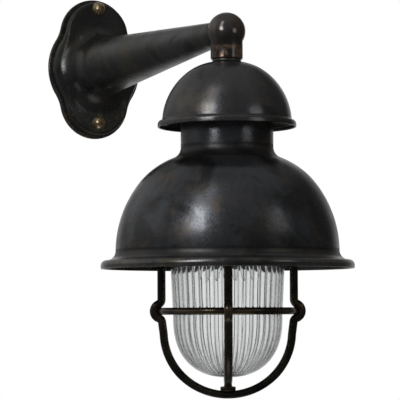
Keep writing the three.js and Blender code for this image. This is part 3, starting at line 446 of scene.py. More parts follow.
PLATE_BULGE, PLATE_LOBE, LOBE_OFFSET, PLATE_HOLLOW = 53.8, 40.0, 36.0, 41.0
PLATE_THICK = 3.5
CASTING_BACK = 5.0
CASTING_INSET = 3.8
CASTING_FACE = 14.0
ARM_LENGTH = math.hypot(REACH, DROP)
ARM_RISE = DROP / REACH
BALL = 18.0
BOLT_HALF = 62.2


def outline_radius(angle, inset):
    """Distance from the plate's centre to its outline in a direction: the bulge's circle, then the near side
    of the hollow arc's circle, then the far side of the lobe's circle, mirrored into four quarters."""
    bulge, lobe, hollow = PLATE_BULGE - inset, PLATE_LOBE - inset, PLATE_HOLLOW + inset
    to_bulge, to_lobe = bulge + hollow, lobe + hollow
    turn = math.acos((LOBE_OFFSET**2 + to_bulge**2 - to_lobe**2) / (2 * LOBE_OFFSET * to_bulge))
    hx, hz = to_bulge * math.sin(turn), to_bulge * math.cos(turn)
    touch = np.array([hx, hz]) + np.array([-hx, LOBE_OFFSET - hz]) * hollow / to_lobe
    a_bulge = math.atan2(hz, hx)
    a_lobe = math.atan2(touch[1], touch[0])
    c, s = np.abs(np.cos(angle)), np.abs(np.sin(angle))
    folded = np.arctan2(s, c)
    along_h = hx * c + hz * s
    near = along_h - np.sqrt(np.maximum(along_h**2 - hx**2 - hz**2 + hollow**2, 0))
    along_l = LOBE_OFFSET * s
    far = along_l + np.sqrt(np.maximum(along_l**2 - LOBE_OFFSET**2 + lobe**2, 0))
    return np.where(folded < a_bulge, bulge, np.where(folded < a_lobe, near, far))


def outline(angle, inset):
    r = outline_radius(angle, inset)
    return np.stack([r * np.cos(angle), r * np.sin(angle)], -1)


def flat_with_holes(loops):
    """Triangles between an outer loop and the hole loops inside it, all lists of plan points."""
    points = np.concatenate(loops)
    edges, start = [], 0
    for loop in loops:
        k = np.arange(len(loop))
        edges += np.stack([start + k, start + (k + 1) % len(loop)], 1).tolist()
        start += len(loop)
    made = delaunay_2d_cdt([Vector(p) for p in points], edges, [], 1, 1e-6)
    flat, faces = np.array([list(p) for p in made[0]]), np.array(made[2])
    middle = flat[faces].mean(1)
    keep = np.ones(len(faces), bool)
    for hole in loops[1:]:
        keep &= ~inside(middle, hole)
    return flat, faces[keep]


def inside(points, loop):
    """Which points lie in a loop: those whose level line crosses an odd number of its edges to the right."""
    a, b = loop[None], np.roll(loop, -1, 0)[None]
    x, y = points[:, :1], points[:, 1:]
    spans = (a[..., 1] > y) != (b[..., 1] > y)
    rise = np.where(b[..., 1] == a[..., 1], 1.0, b[..., 1] - a[..., 1])
    at = a[..., 0] + (y - a[..., 1]) / rise * (b[..., 0] - a[..., 0])
    return np.sum(spans & (at > x), 1) % 2 == 1


def wall_plate():
    """The lobed back plate: its outline carried up a profile with rounded edges, a flat back and front with
    two wall slots, the cable's hole and two screw holes, and a straight wall round each hole."""
    angle = all_round(240)
    edge, slot_end, slot_half, slot_out, rub = 0.9, 2.6, 4.4, 27.0, 0.3
    cable_height, cable_radius, screw_radius = 17, 6.5, 3.3
    profile = joined(arc(edge, edge, edge, -90, -180, 4), arc(edge, PLATE_THICK - edge, edge, 180, 90, 4))
    rows = [np.insert(outline(angle, inset), 1, -depth, -1) for inset, depth in profile]
    rings = np.array(rows)
    count = len(angle)
    holes = [
        joined(arc(side, slot_half, slot_end, 0, 180, 12), arc(side, -slot_half, slot_end, 180, 360, 12))
        for side in (slot_out, -slot_out)
    ]
    holes.append(arc(0, cable_height, cable_radius, 0, 360, 32)[:-1])
    holes += [arc(0, side * BOLT_HALF + DROP, screw_radius, 0, 360, 24)[:-1] for side in (1, -1)]
    points, faces = [rings.reshape(-1, 3)], grid_faces(len(rows), count, False).tolist()
    start = len(points[0])
    for row, depth, flip in ((0, 0.0, False), (-1, PLATE_THICK, True)):
        loop = rings[row][:, [0, 2]]
        flat, triangles = flat_with_holes([loop, *holes])
        points.append(np.insert(flat, 1, -depth, -1))
        turned_faces = triangles[:, ::-1] if flip else triangles
        faces += (turned_faces + start).tolist()
        start += len(flat)
    for hole in holes:
        k = np.arange(len(hole))
        on = (k + 1) % len(hole)
        points += [np.insert(hole, 1, 0.0, -1), np.insert(hole, 1, -PLATE_THICK, -1)]
        faces += np.stack([start + on, start + k, start + len(k) + k, start + len(k) + on], 1).tolist()
        start += 2 * len(hole)
    points = np.concatenate(points)
    on_rim = np.arange(len(points)) < rings.shape[0] * count
    return points + [0, 0, -DROP], faces, rub * on_rim


def weld(made):
    """Merges the points that lie together, so that the piece is one closed skin, and faces it outwards."""
    mesh = bmesh.new()
    mesh.from_mesh(made.data)
    bmesh.ops.remove_doubles(mesh, verts=mesh.verts, dist=0.02 * MM)
    bmesh.ops.recalc_face_normals(mesh, faces=mesh.faces)
    mesh.to_mesh(made.data)
    mesh.free()
    made.data.set_sharp_from_angle(angle=math.radians(CREASE))


weld(piece("wall_plate", wall_plate(), CAST_BRONZE, "root", "back_plate"))


TAPER = 0.0745  # how much the arm's radius grows for each millimetre towards the wall
LEAN = math.atan(TAPER)
ARM_TIP = 11.6  # the arm's radius where it meets the ball
BULGE_EDGE = {"edge": 12.0, "start": 6.5, "turn": math.radians(60)}
LOBE_EDGE = {"edge": 3.6, "start": 10.4, "turn": math.radians(90)}
SCREW_HEAD, HEAD_CLEARANCE = 7.5, 2.4
SLOT_TURN = math.radians(20)


def arm_radius(distance):
    return ARM_TIP + (ARM_LENGTH - BALL - distance) * TAPER


def sweep_radius(r, s, turn):
    """Radius of the hollow sweep that leaves a slope at a point and touches the arm's side."""
    return (r - arm_radius(s)) / (math.cos(LEAN) - np.cos(turn) - TAPER * (np.sin(turn) - math.sin(LEAN)))


def casting_front(angle):
    """Radius and distance from the wall of the casting's front, for every direction: a straight wall, an edge
    arc, a straight slope and the hollow sweep that touches the tapered arm. The edge passes smoothly from the
    round bulge's, at the sides, to the lobes', above and below, and the sweep's curvature grows so that it
    ends short of the screws. Its centre lies its own radius from the slope and from the arm's side."""
    upright = np.degrees(np.arctan2(np.abs(np.sin(angle)), np.abs(np.cos(angle))))
    share = np.clip((upright - 20) / 34, 0, 1)
    share = share * share * (3 - 2 * share)
    edge, start, turn = (BULGE_EDGE[k] + (LOBE_EDGE[k] - BULGE_EDGE[k]) * share for k in BULGE_EDGE)
    r0 = outline_radius(angle, CASTING_INSET)
    end_r, end_s = r0 - edge * (1 - np.cos(turn)), start + edge * np.sin(turn)
    lobe_end = LOBE_OFFSET + PLATE_LOBE - CASTING_INSET - LOBE_EDGE["edge"]
    head_end = BOLT_HALF - SCREW_HEAD - HEAD_CLEARANCE
    free, short = (sweep_radius(r, CASTING_FACE, math.pi / 2) for r in (lobe_end, head_end))
    sweep = 1 / (1 / sweep_radius(end_r, end_s, turn) + share * (1 / short - 1 / free))
    from_slope = sweep + end_r * np.cos(turn) + end_s * np.sin(turn)
    from_arm = arm_radius(0) + sweep * (math.cos(LEAN) + TAPER * math.sin(LEAN))
    part = np.cos(turn) * TAPER - np.sin(turn)
    centre_r = (from_slope * TAPER - np.sin(turn) * from_arm) / part
    centre_s = (np.cos(turn) * from_arm - from_slope) / part
    to_r, to_s = centre_r - sweep * np.cos(turn), centre_s - sweep * np.sin(turn)
    rows = [(r0, CASTING_BACK + (start - CASTING_BACK) * k) for k in np.linspace(0, 1, 4)]
    for k in np.linspace(0, 1, 12)[1:]:
        rows.append((r0 - edge * (1 - np.cos(turn * k)), start + edge * np.sin(turn * k)))
    for k in np.linspace(0, 1, 10)[1:]:
        rows.append((end_r + (to_r - end_r) * k, end_s + (to_s - end_s) * k))
    for k in np.linspace(0, 1, 22)[1:]:
        a = turn + (LEAN - turn) * k
        rows.append((centre_r - sweep * np.cos(a), centre_s - sweep * np.sin(a)))
    return rows


def arm_casting():
    """Rings round the arm's axis, each a radius and a distance from the wall for every direction: the lobed
    front, the tapered arm, the hollow seat for the ball, and back down the inside of the casting."""
    angle = all_round(256)
    one = np.ones_like(angle)
    rows = casting_front(angle)
    end_r, wall, seat = 11.75, 3.5, BALL + GAP
    reach = np.linspace(50, 276, 30)
    end = ARM_LENGTH - math.sqrt(seat**2 - end_r**2)
    seat_r = np.linspace(end_r - 0.8, TUBE_HOLE, 6)
    inner = np.stack([arm_radius(reach) - wall, reach], 1)[::-1]
    line = joined(
        np.stack([arm_radius(reach), reach], 1),
        [[end_r + 0.75, end - 2.2]],
        arc(end_r - 0.55, end - 0.85, 0.75, 0, 75, 4),
        np.stack([seat_r, ARM_LENGTH - np.sqrt(seat**2 - seat_r**2)], 1),
        [[TUBE_HOLE, ARM_LENGTH - BALL - 26]],
        inner[inner[:, 1] < ARM_LENGTH - BALL - 34],
        [[27, 34], [31, 20], [36, 13.5], [43, 10.5], [45, 10.5], [45, CASTING_BACK]],
    )
    rows += [(r * one, s * one) for r, s in line]
    r, s = np.array([row[0] for row in rows]), np.array([row[1] for row in rows])
    rings = np.stack([r * np.cos(angle), -s, r * np.sin(angle) + ARM_RISE * s - DROP], -1)
    points, faces = skin(rings, True)
    return points, faces, np.zeros(len(points))


piece("arm_and_bulge", arm_casting(), CAST_BRONZE, "root", "arm_casting")


def dome_screw(side):
    """Dome-head screw: a disc of straight strips across the slot, raised to a sphere and sunk by the slot's
    depth where the strip lies in the slot, over a straight shank."""
    head, rise, slot, depth, shank, tip = SCREW_HEAD, 6.6, 0.7, 1.8, 3.0, 0.8
    lift = (head**2 - rise**2) / (2 * rise)
    ball = rise + lift
    across = np.concatenate([
        -head * np.cos(np.linspace(0, math.pi / 2, 13))[:-1], [-slot - 0.02, -slot + 0.02],
        [0.0], [slot - 0.02, slot + 0.02], head * np.sin(np.linspace(0, math.pi / 2, 13))[1:]])
    across = np.unique(np.concatenate([across[np.abs(across) >= slot - 0.03], [0.0]]))
    turn = np.linspace(-1, 1, 25)
    a = across[:, None] + 0 * turn
    b = np.sqrt(np.maximum(head**2 - across**2, 0))[:, None] * np.sin(turn * math.pi / 2)
    height = np.sqrt(np.maximum(ball**2 - a**2 - b**2, 0)) - lift
    height = np.where(np.abs(a) < slot, np.minimum(height, rise - depth), height)
    height = np.maximum(height, 0)
    # The strips' ends lie on the rim, so the rim's points are read round the disc for the shank
    rows, columns = a.shape
    index = np.arange(rows * columns).reshape(rows, columns)
    quads = np.stack([index[:-1, :-1], index[1:, :-1], index[1:, 1:], index[:-1, 1:]], -1)
    faces = quads.reshape(-1, 4).tolist()
    rim = np.concatenate([index[0, :1], index[1:-1, 0], index[-1, :1], index[1:-1, -1][::-1]])
    plan = np.stack([a, height, b], -1).reshape(-1, 3)
    rim_angle = np.arctan2(plan[rim, 2], plan[rim, 0])
    levels = [(head, -0.6), (shank, -0.6), (shank, tip - CASTING_FACE)]
    points, start = [plan], len(plan)
    before = rim
    for radius, level in levels:
        level = np.full(len(rim), level)
        points.append(np.stack([radius * np.cos(rim_angle), level, radius * np.sin(rim_angle)], -1))
        here = start + np.arange(len(rim))
        on = np.roll(np.arange(len(rim)), -1)
        faces += np.stack([before, before[on], here[on], here], 1).tolist()
        before, start = here, start + len(rim)
    faces.append(before.tolist())
    q = np.concatenate(points)
    angle = SLOT_TURN
    x = q[:, 0] * math.cos(angle) - q[:, 2] * math.sin(angle)
    z = q[:, 0] * math.sin(angle) + q[:, 2] * math.cos(angle)
    return np.stack([x, -CASTING_FACE - q[:, 1], z + side * BOLT_HALF], 1), faces


for name, side in (("upper", 1), ("lower", -1)):
    weld(piece(
        f"screw_head_{name}", dome_screw(side), WORN_BRASS, "root", f"plate_screw_{name}"))


# Head, from the top down

STUB = 15.35


def elbow_ball():
    """Sphere and stub with a chamfered foot, the bore up the stub, and a round chamber inside."""
    join = -math.degrees(math.acos(STUB / BALL))
    chamber, hole = 9.5, TUBE_HOLE
    profile = joined(
        arc(0, 0, BALL, 90, join, 40),
        [[STUB, STUB_END + 1.6]], arc(STUB - 1.2, STUB_END + 1.2, 1.2, 0, -90, 5),
        [[hole, STUB_END]],
        arc(0, 0, chamber, -math.degrees(math.acos(hole / chamber)), 90, 16),
    )
    profile[0, 0] = profile[-1, 0] = 0
    return turned(profile, 112)


def washer_ring():
    """Ring under the stub, with rounded edges."""
    return turned(rounded([(TUBE_HOLE, STUB_END, 0.2), (13.75, STUB_END, 0.9), (13.75, CAP_TOP, 0.9),
                           (TUBE_HOLE, CAP_TOP, 0.2)]), 96)


def dome(centre, radius, shoulder, joint, top, bottom, steps):
    """A dome's line from the top down: an arc of the shoulder's radius that touches the dome's own circle."""
    a = math.radians(joint)
    x, y = (radius - shoulder) * math.cos(a), centre + (radius - shoulder) * math.sin(a)
    return joined(arc(x, y, shoulder, top, joint, steps[0]), arc(0, centre, radius, joint, bottom, steps[1]))


def top_cap():
    """Spun cap: flat top, domed shoulder, dome, a tight cove and a quarter-round lip with a straight lower
    edge, and the same thin wall inside."""
    radius, shoulder, joint, wall, height = 61.7, 49.8, 52.0, 1.5, 62.6
    cove, rim, lip, lip_height = 1.2, 65.9, 3.8, 6.6
    centre = CAP_TOP - shoulder - (radius - shoulder) * math.sin(math.radians(joint))
    bottom = CAP_TOP - height
    lip_top = bottom + lip_height
    cove_y = lip_top + cove
    end = math.degrees(math.asin((cove_y - centre) / radius))
    line = joined([[TUBE_HOLE, CAP_TOP]], dome(centre, radius, shoulder, joint, 90, end, (16, 40)))
    edge = line[-1, 0]
    profile = ring_of(
        line,
        arc(edge + cove, cove_y, cove, 180, 240, 6),
        arc(rim - lip, lip_top - lip, lip, 90, 0, 10),
        [[rim, bottom + 0.4]],
        arc(rim - wall / 2, bottom + wall / 2, wall / 2, 0, -180, 6),
        arc(rim - lip, lip_top - lip, lip - wall, 0, 90, 8),
        beside(line, wall)[::-1],
    )
    return turned(profile, 160)


def dome_shade():
    """Spun shade: neck with rounded corner, fillet, shoulder, dome, cove and a brim turned down at its edge,
    with the same wall inside and a rounded lip."""
    neck, corner, fillet, shoulder, joint = 44.0, 4.0, 11.0, 75.8, 37.0
    radius, dome_drop, height, wall = 105.9, 132.1, 148.1, 1.6
    cove_rise, cove, edge, brim, flat = 0.9, 8.8, 5.0, 120.0, 20
    centre = SHADE_TOP - dome_drop
    a = math.radians(joint)
    sx, sy = (radius - shoulder) * math.cos(a), centre + (radius - shoulder) * math.sin(a)
    fx = neck + fillet
    fy = sy + math.sqrt((shoulder + fillet) ** 2 - (fx - sx) ** 2)
    meet = math.degrees(math.atan2(fy - sy, fx - sx))
    end = math.degrees(math.asin(cove_rise / radius))
    cove_y = centre + cove_rise
    cove_x = radius * math.cos(math.radians(end)) + cove
    edge_y = cove_y - cove - edge
    outer = joined(
        [[TUBE_HOLE, SHADE_TOP], [flat, SHADE_TOP]],
        arc(neck - corner, SHADE_TOP - corner, corner, 90, 0, 8),
        arc(fx, fy, fillet, 180, 180 + meet, 10),
        dome(centre, radius, shoulder, joint, meet, end, (24, 44)),
        arc(cove_x, cove_y, cove, 180, 270, 12),
        arc(brim - edge, edge_y, edge, 90, 0, 12),
        [[brim, SHADE_TOP - height + wall / 2]],
    )
    lip = arc(brim - wall / 2, SHADE_TOP - height + wall / 2, wall / 2, 0, -180, 6)
    return turned(ring_of(outer, lip, beside(outer, wall)[::-1]), 224)


def gallery_bell():
    """Bell inside the shade: drum, cone, flat seat with its hole, and the skirt outside the collar."""
    wall, drum, drum_end, inner, skirt, skirt_wall = 2.5, 36.0, GALLERY_TOP - 55, 51.0, 64.5, 3.3
    seat_top, foot = SEAT + 3, SEAT - 6.5
    outer = joined(
        [[TUBE_HOLE, GALLERY_TOP]], arc(drum - 3, GALLERY_TOP - 3, 3, 90, 0, 8),
        [[drum, drum_end], [inner + wall, seat_top]])
    lining = beside(outer, wall)[::-1]
    profile = ring_of(
        outer, arc(skirt - 1, seat_top - 1, 1, 90, 0, 4), arc(skirt - 0.4, foot + 0.4, 0.4, 0, -90, 3),
        [[skirt - skirt_wall, foot], [skirt - skirt_wall, SEAT], [inner, SEAT], [inner, seat_top]],
        lining[1:])
    return turned(profile, 128)


def holder_cap():
    """Thin bell over the lampholder: a short top, a slope and a straight side."""
    top, radius, wall = 12.0, 21.0, 2.4
    outer = joined(
        [[TUBE_HOLE, HOLDER_TOP]], arc(top - 2, HOLDER_TOP - 2, 2, 90, 40, 5),
        arc(radius - 4, HOLDER_TOP - 10.5, 4, 40, 0, 6), [[radius, BODY_TOP]])
    return turned(ring_of(outer, beside(outer, wall)[::-1]), 64)


def holder_body():
    """Porcelain body of the lampholder with a rounded mouth round the bore that takes the bulb."""
    radius, bore, bottom = 21.0, 14.8, BODY_TOP - 41
    profile = joined(
        [[0, BODY_TOP], [radius - 0.3, BODY_TOP]], arc(radius - 2, bottom + 2, 2, 0, -90, 6),
        arc(bore + 1.2, bottom + 1.2, 1.2, -90, -180, 5), [[bore, SOCKET_TOP], [0, SOCKET_TOP]])
    return turned(profile, 64)


for name, shape, finish, slot, node in (
    ("elbow_ball", elbow_ball(), ELBOW_BRONZE, "brown_bronze", "ball_elbow"),
    ("stub_ring", washer_ring(), DULL_RING, "dark_bronze", "ring_washer"),
    ("top_cap", top_cap(), CAP_BRONZE, "dark_bronze", "cap"),
    ("dome_shade", dome_shade(), SPUN_BRONZE, "dark_bronze", "shade"),
    ("gallery_bell", gallery_bell(), PALE_ENAMEL, "pale_enamel", "gallery"),
    ("porcelain_cap", holder_cap(), PORCELAIN, "white_porcelain", "holder_cap"),
    ("porcelain_body", holder_body(), PORCELAIN, "white_porcelain", "holder_body"),
):
    piece(name, shape, finish, "root", node)


# Bulb

def bulb_screw_cap():
    """Brass screw cap with its contact button: the side is a rolled thread, a sine wave of height that
    turns with the direction, so that one turn moves it by one pitch."""
    radius, low, pitch, depth, wall = 13.1, -2.0 - 24.0, 3.6, 0.45, 0.8
    t = all_round(96)
    levels = np.linspace(-2.6, low, 70)[:, None]
    ripple = depth * np.sin(2 * math.pi * levels / pitch + t)
    fade = np.clip((-2.6 - levels) / 2, 0, 1) * np.clip((levels - low - 4) / 3, 0, 1)
    side_r = radius - depth + ripple * fade
    top = np.array([[4.5, 0.0], [5.0, -0.5], [9.5, -1.6], [12.4, -2.1]])
    inner = np.array([[12.4, low], [12.1, low + 1.0], [12.1, -2.9], [4.5, -1.2]])
    r = np.concatenate([top[:, :1] + 0 * t, side_r, inner[:, :1] + 0 * t])
    h = np.concatenate([top[:, 1:] + 0 * t, levels + 0 * t, inner[:, 1:] + 0 * t])
    rings = about_axis(r, h + BULB_TOP, t)
    return skin(rings, False)


def bulb_envelope():
    """Round bulb with a short neck: an outer skin from the pole to the neck's mouth, and one back inside."""
    glass, neck, wall = 22.5, 11.8, 0.8
    centre = BULB_TOP - 89 + glass
    mouth = BULB_TOP - 20

    def line(inset):
        r, n = glass - inset, neck - inset
        end = math.degrees(math.acos(n / r))
        return joined(arc(0, centre, r, -90, end - 12, 40), arc(0, centre, r, end - 12, end, 3),
                      [[n, centre + math.sqrt(r**2 - n**2) + 3], [n, mouth]])

    profile = joined(line(0), line(wall)[::-1])
    profile[0, 0] = profile[-1, 0] = 0
    return turned(profile, 72)


piece("bulb_screw_cap", bulb_screw_cap(), WORN_BRASS, "bulb", "bulb_cap")
piece("bulb_envelope", bulb_envelope(), BULB_GLASS, "bulb", "bulb_glass")


# Glass jar and its gasket

JAR_RIBS = 45
FLANGE = 60.5  # radius of the jar's flange and of the rubber ring on it


def jar_line(inset, rows):
    """One side of the jar from under its flange to the axis: upright where the guard's collar grips it, then
    slightly tapered, then a bowl. The bowl's radius share is one minus the depth share to one power, and that
    to one over another."""
    depth_power, radius_power, top_radius, low_radius = 2.53, 2.24, 54.0, 51.7
    start, taper_top, bowl_top, bowl = GLOBE_TOP - 7, GLOBE_TOP - 34, GLOBE_TOP - 81.8, 58.6
    height = np.concatenate([[start, taper_top], np.linspace(taper_top, bowl_top, 10)[1:-1]])
    share = np.clip((taper_top - height) / (taper_top - bowl_top), 0, 1)
    side = np.stack([top_radius + (low_radius - top_radius) * share - inset, height], 1)
    depth = np.sin(np.linspace(0, math.pi / 2, rows))
    radius = (low_radius - inset) * np.maximum(1 - depth**depth_power, 0) ** (1 / radius_power)
    return joined(side, np.stack([radius, bowl_top - (bowl - inset) * depth], 1))


def ribbed_jar():
    """Jar with a flange, smooth outside. Inside, upright half-round ribs stand out by the height of a bent
    cosine of the direction; they fade in under the flange and end at a flat, slightly thicker disc."""
    per_rib, base, height = 16, 2.6, 1.45
    disc, disc_thick = 18.3, 4.1
    around = JAR_RIBS * per_rib
    t = all_round(around)
    outer = joined(
        rounded([(49.6, GLOBE_TOP, 0.8), (FLANGE, GLOBE_TOP, 1.0), (FLANGE, GLOBE_TOP - 5, 1.0)], 4)[5:15],
        arc(56, GLOBE_TOP - 7, 2, 90, 180, 4), jar_line(0, 34)[1:])
    floor = outer[-1, 1] + disc_thick
    inner = jar_line(base, 46)[::-1]
    inner = inner[inner[:, 0] > disc + 0.5]
    flat = np.array([[r, floor] for r in (1.0, 6.0, 12.0, disc - 0.6, disc)])
    inner = np.concatenate([flat, inner])
    outer = outer[outer[:, 0] > 0.4]
    r_in, h_in = inner[:, :1], inner[:, 1:]
    wave = np.abs(np.cos(JAR_RIBS * t / 2)) ** 0.8
    grow = np.clip((r_in - disc) / 0.5, 0, 1) * np.clip((GLOBE_TOP - 3 - h_in) / 6, 0, 1)
    rib = height * grow * np.minimum(r_in / 40, 1) ** 0.8 * wave
    # On the bowl the ribs rise along the wall's own normal, between level and upright
    slope = np.gradient(inner, axis=0)
    normal = unit(np.stack([-slope[:, 1], slope[:, 0]], 1))
    normal *= np.where(normal[:, :1] > 0, -1, 1)
    r = np.concatenate([outer[:, :1] + 0 * t, r_in + normal[:, :1] * rib])
    h = np.concatenate([outer[:, 1:] + 0 * t, h_in + normal[:, 1:] * rib])
    rings = about_axis(r, h, t)
    return rings, len(outer)


def jar_shape():
    """The jar's rings as one skin: round the outside to the bottom pole, and from the inner pole back up."""
    rings, split = ribbed_jar()
    columns = rings.shape[1]
    points = rings.reshape(-1, 3)
    quads = grid_faces(len(rings), columns, True).reshape(len(rings), columns, 4)
    quads = np.delete(quads, split - 1, 0).reshape(-1, 4).tolist()
    j = np.arange(columns)
    on = (j + 1) % columns
    for ring, pole in ((split - 1, len(points)), (split, len(points) + 1)):
        fan = np.stack([ring * columns + j, ring * columns + on, np.full(columns, pole)], 1)
        quads += (fan if ring == split - 1 else fan[:, ::-1]).tolist()
    poles = np.stack([rings[split - 1].mean(0), rings[split].mean(0)])
    return np.concatenate([points, poles]), quads


piece("ribbed_jar", jar_shape(), JAR_GLASS, "globe", "glass_globe", crease=60)
gasket = turned(rounded([(51.5, SEAT, 0.4), (FLANGE, SEAT, 0.8), (FLANGE, GLOBE_TOP, 0.8),
                         (51.5, GLOBE_TOP, 0.4)]), 128)
piece("jar_gasket", gasket, RUBBER, "globe", "globe_gasket")


# Guard

LEG_RADIUS, LEG_THICK, LEG_WIDTH, RING_THICK = 62.6, 7.2, 7.9, 6.7
BOWL_RADIUS, BOWL_SPAN = 59.6, 60.6
BOSS, BOSS_THICK = 7.3, 4.2
OUTER_BOTTOM = HOOP_CENTRE - BOWL_RADIUS
INNER_BOTTOM = OUTER_BOTTOM + 2 * (LEG_THICK / 2 + GAP) + BOSS_THICK


def hoop_line(bottom):
    """Half of a hoop's middle line: leg, bend round the ring with a fillet each side, and bottom curve."""
    bend = RING_THICK / 2 + GAP + LEG_THICK / 2
    fillet = 5.0
    rise = math.sqrt((bend + fillet) ** 2 - fillet**2)
    turn = math.degrees(math.atan2(rise, fillet))
    a = np.linspace(0, math.pi / 2, 40)[1:]
    bowl = np.stack([BOWL_SPAN * np.cos(a), HOOP_CENTRE + (bottom - HOOP_CENTRE) * np.sin(a)], 1)
    leg_top = np.linspace(COLLAR_BOTTOM - GAP, RING_HEIGHT + rise, 12)
    return joined(
        np.stack([np.full(12, LEG_RADIUS), leg_top], 1),
        arc(LEG_RADIUS + fillet, RING_HEIGHT + rise, fillet, 180, 180 + turn, 8),
        arc(LEG_RADIUS, RING_HEIGHT, bend, turn, -turn, 28),
        arc(LEG_RADIUS + fillet - 0.6, RING_HEIGHT - rise, fillet, 180 - turn, 180, 8),
        bowl,
    )


def bar_section(width, thick, count=20, power=2.3):
    """A rounded bar's section: cosine and sine to a power below one, which fills the corners of an oval."""
    a = all_round(count)
    c, s = np.cos(a), np.sin(a)
    return np.stack([width / 2 * np.sign(c) * np.abs(c) ** (2 / power),
                     thick / 2 * np.sign(s) * np.abs(s) ** (2 / power)], 1)


def hoop(bottom, turn):
    """The section carried along the whole hoop, square to its middle line, in a plane turned about the axis.
    Its inner half is thicker round the ring's bend, and its outer half is thinner at the bottom."""
    half = hoop_line(bottom)
    line = np.concatenate([half, (half[:-1] * [-1, 1])[::-1]])
    run = unit(np.gradient(line, axis=0))
    normal = np.stack([run[:, 1], -run[:, 0]], 1)
    section = bar_section(LEG_WIDTH, LEG_THICK)
    near = np.exp(-((line[:, 1] - RING_HEIGHT) / 6) ** 2)[:, None]
    across = section[None, :, 0] * (1 + 0.05 * near)
    inner, outer = np.maximum(section[None, :, 1], 0), np.minimum(section[None, :, 1], 0)
    low = np.clip((line[:, 1] - bottom) / 20, 0, 1)[:, None]
    out = inner * (1.09 + 0.2 * near) + outer * (0.92 + 0.17 * low)
    plane_x = line[:, :1] + normal[:, :1] * out
    z = line[:, 1:] + normal[:, 1:] * out
    c, s = math.cos(turn), math.sin(turn)
    rings = np.stack([plane_x * c - across * s, plane_x * s + across * c, z], -1) + AXIS
    points, faces = skin(rings, False)
    near_ring = np.exp(-((line[:, 1] - RING_HEIGHT) / 10) ** 2)
    rub = np.repeat(0.04 + 0.35 * near_ring, len(section))
    return points, faces, np.concatenate([rub, [0, 0]])


def boss():
    """Small turned boss between the two hoops, with rounded edges and a braze up to the upper hoop."""
    foot = OUTER_BOTTOM + LEG_THICK / 2 + GAP
    top = foot + BOSS_THICK
    braze, reach, chamfer, edge = LEG_WIDTH / 2 - 0.1, 2.4, 0.4, 1.1
    profile = joined(
        [[0, top + reach], [braze - chamfer, top + reach], [braze, top + reach - chamfer], [braze, top]],
        arc(BOSS - edge, top - edge, edge, 90, 0, 6), arc(BOSS - edge, foot + edge, edge, 0, -90, 6),
        [[0, foot]])
    return turned(profile, 48)


def guard_ring():
    """Round bar carried in a circle inside the hoops' bends."""
    return turned(arc(LEG_RADIUS, RING_HEIGHT, RING_THICK / 2, 0, 360, 20)[:-1], 160)


def guard_collar():
    """Ring that screws on the gallery's skirt, with a lip under the jar's flange."""
    outer, inner, lip, top = 68.3, 65.2, 54.4, COLLAR_BOTTOM + 15
    return turned(rounded([(inner, top, 0.4), (outer, top, 0.8), (outer, COLLAR_BOTTOM, 1.2),
                           (lip, COLLAR_BOTTOM, 0.8), (lip, LIP_TOP, 0.6), (inner, LIP_TOP, 0.4)]), 128)


for name, shape, node in (
    ("outer_hoop", hoop(OUTER_BOTTOM, GUARD_TURN), "hoop_outer"),
    ("inner_hoop", hoop(INNER_BOTTOM, GUARD_TURN + math.pi / 2), "hoop_inner"),
    ("ring_bar", guard_ring(), "guard_ring"),
    ("boss_disc", boss(), "crossing_boss"),
    ("collar_ring", guard_collar(), "guard_collar"),
):
    piece(name, shape, GUARD_BRONZE, "guard", node)


# Stage, light and camera

CAMERA_TURN = math.radians(-27.7)
BACK = np.array([math.sin(CAMERA_TURN), -math.cos(CAMERA_TURN), 0])
RIGHT = np.array([math.cos(CAMERA_TURN), math.sin(CAMERA_TURN), 0])
UP = np.array([0, 0, 1.0])
CAMERA_DISTANCE, CAMERA_SIDE, CAMERA_HEIGHT = 1836.0, -25.85, -265.1
CAMERA_PITCH, CAMERA_ROLL = math.radians(3.25), math.radians(-0.2)
FOCAL_PIXELS, FRAME_PIXELS, SENSOR = 1940.0, 400.0, 36.0


def set_camera():
    """The camera as fitted to the lamp's outlines in the photograph."""
    data = bpy.data.cameras.new("camera")
    data.sensor_width = SENSOR
    data.lens = FOCAL_PIXELS / FRAME_PIXELS * SENSOR
    data.clip_end = 100
    camera = bpy.data.objects.new("camera", data)
    camera.location = (AXIS + BACK * CAMERA_DISTANCE + RIGHT * CAMERA_SIDE + UP * CAMERA_HEIGHT) * MM
    look = Vector(-BACK * math.cos(CAMERA_PITCH) + UP * math.sin(CAMERA_PITCH))
    camera.rotation_mode = "QUATERNION"
    level = look.to_track_quat("-Z", "Y")
    camera.rotation_quaternion = level @ Quaternion((0, 0, 1), CAMERA_ROLL)
    bpy.context.scene.collection.objects.link(camera)
    bpy.context.scene.camera = camera


LIT_DEPTH = 0.15  # the lights face the axis this far below the ball, in metres


def softbox(name, left, distance, height_above, width, height, level):
    """A small area lamp that stands at an angle left of the camera, in degrees, round the lamp's axis, and
    faces that axis. Its power is pi times its area times its level."""
    a = math.radians(left)
    way = BACK * math.cos(a) - RIGHT * math.sin(a)
    data = bpy.data.lights.new(name, "AREA")
    data.shape = "RECTANGLE"
    data.size, data.size_y = width, height
    data.energy = math.pi * width * height * level
    light = bpy.data.objects.new(name, data)
    light.location = AXIS * MM + way * distance + UP * height_above
    light.rotation_mode = "QUATERNION"
    to_lamp = Vector(-way * distance - UP * (height_above + LIT_DEPTH))
    light.rotation_quaternion = to_lamp.to_track_quat("-Z", "Y")
    bpy.context.scene.collection.objects.link(light)


# What gloss sees of the room: brightness by the turn from the camera, left negative, in degrees
ROOM_ROUND = ((-180, 0.34), (-165, 0.22), (-150, 0.26), (-134, 0.44), (-84, 0.46), (-66, 0.18), (-40, 0.15),
              (-15, 0.11), (10, 0.09), (35, 0.08), (60, 0.05), (166, 0.06), (180, 0.34))
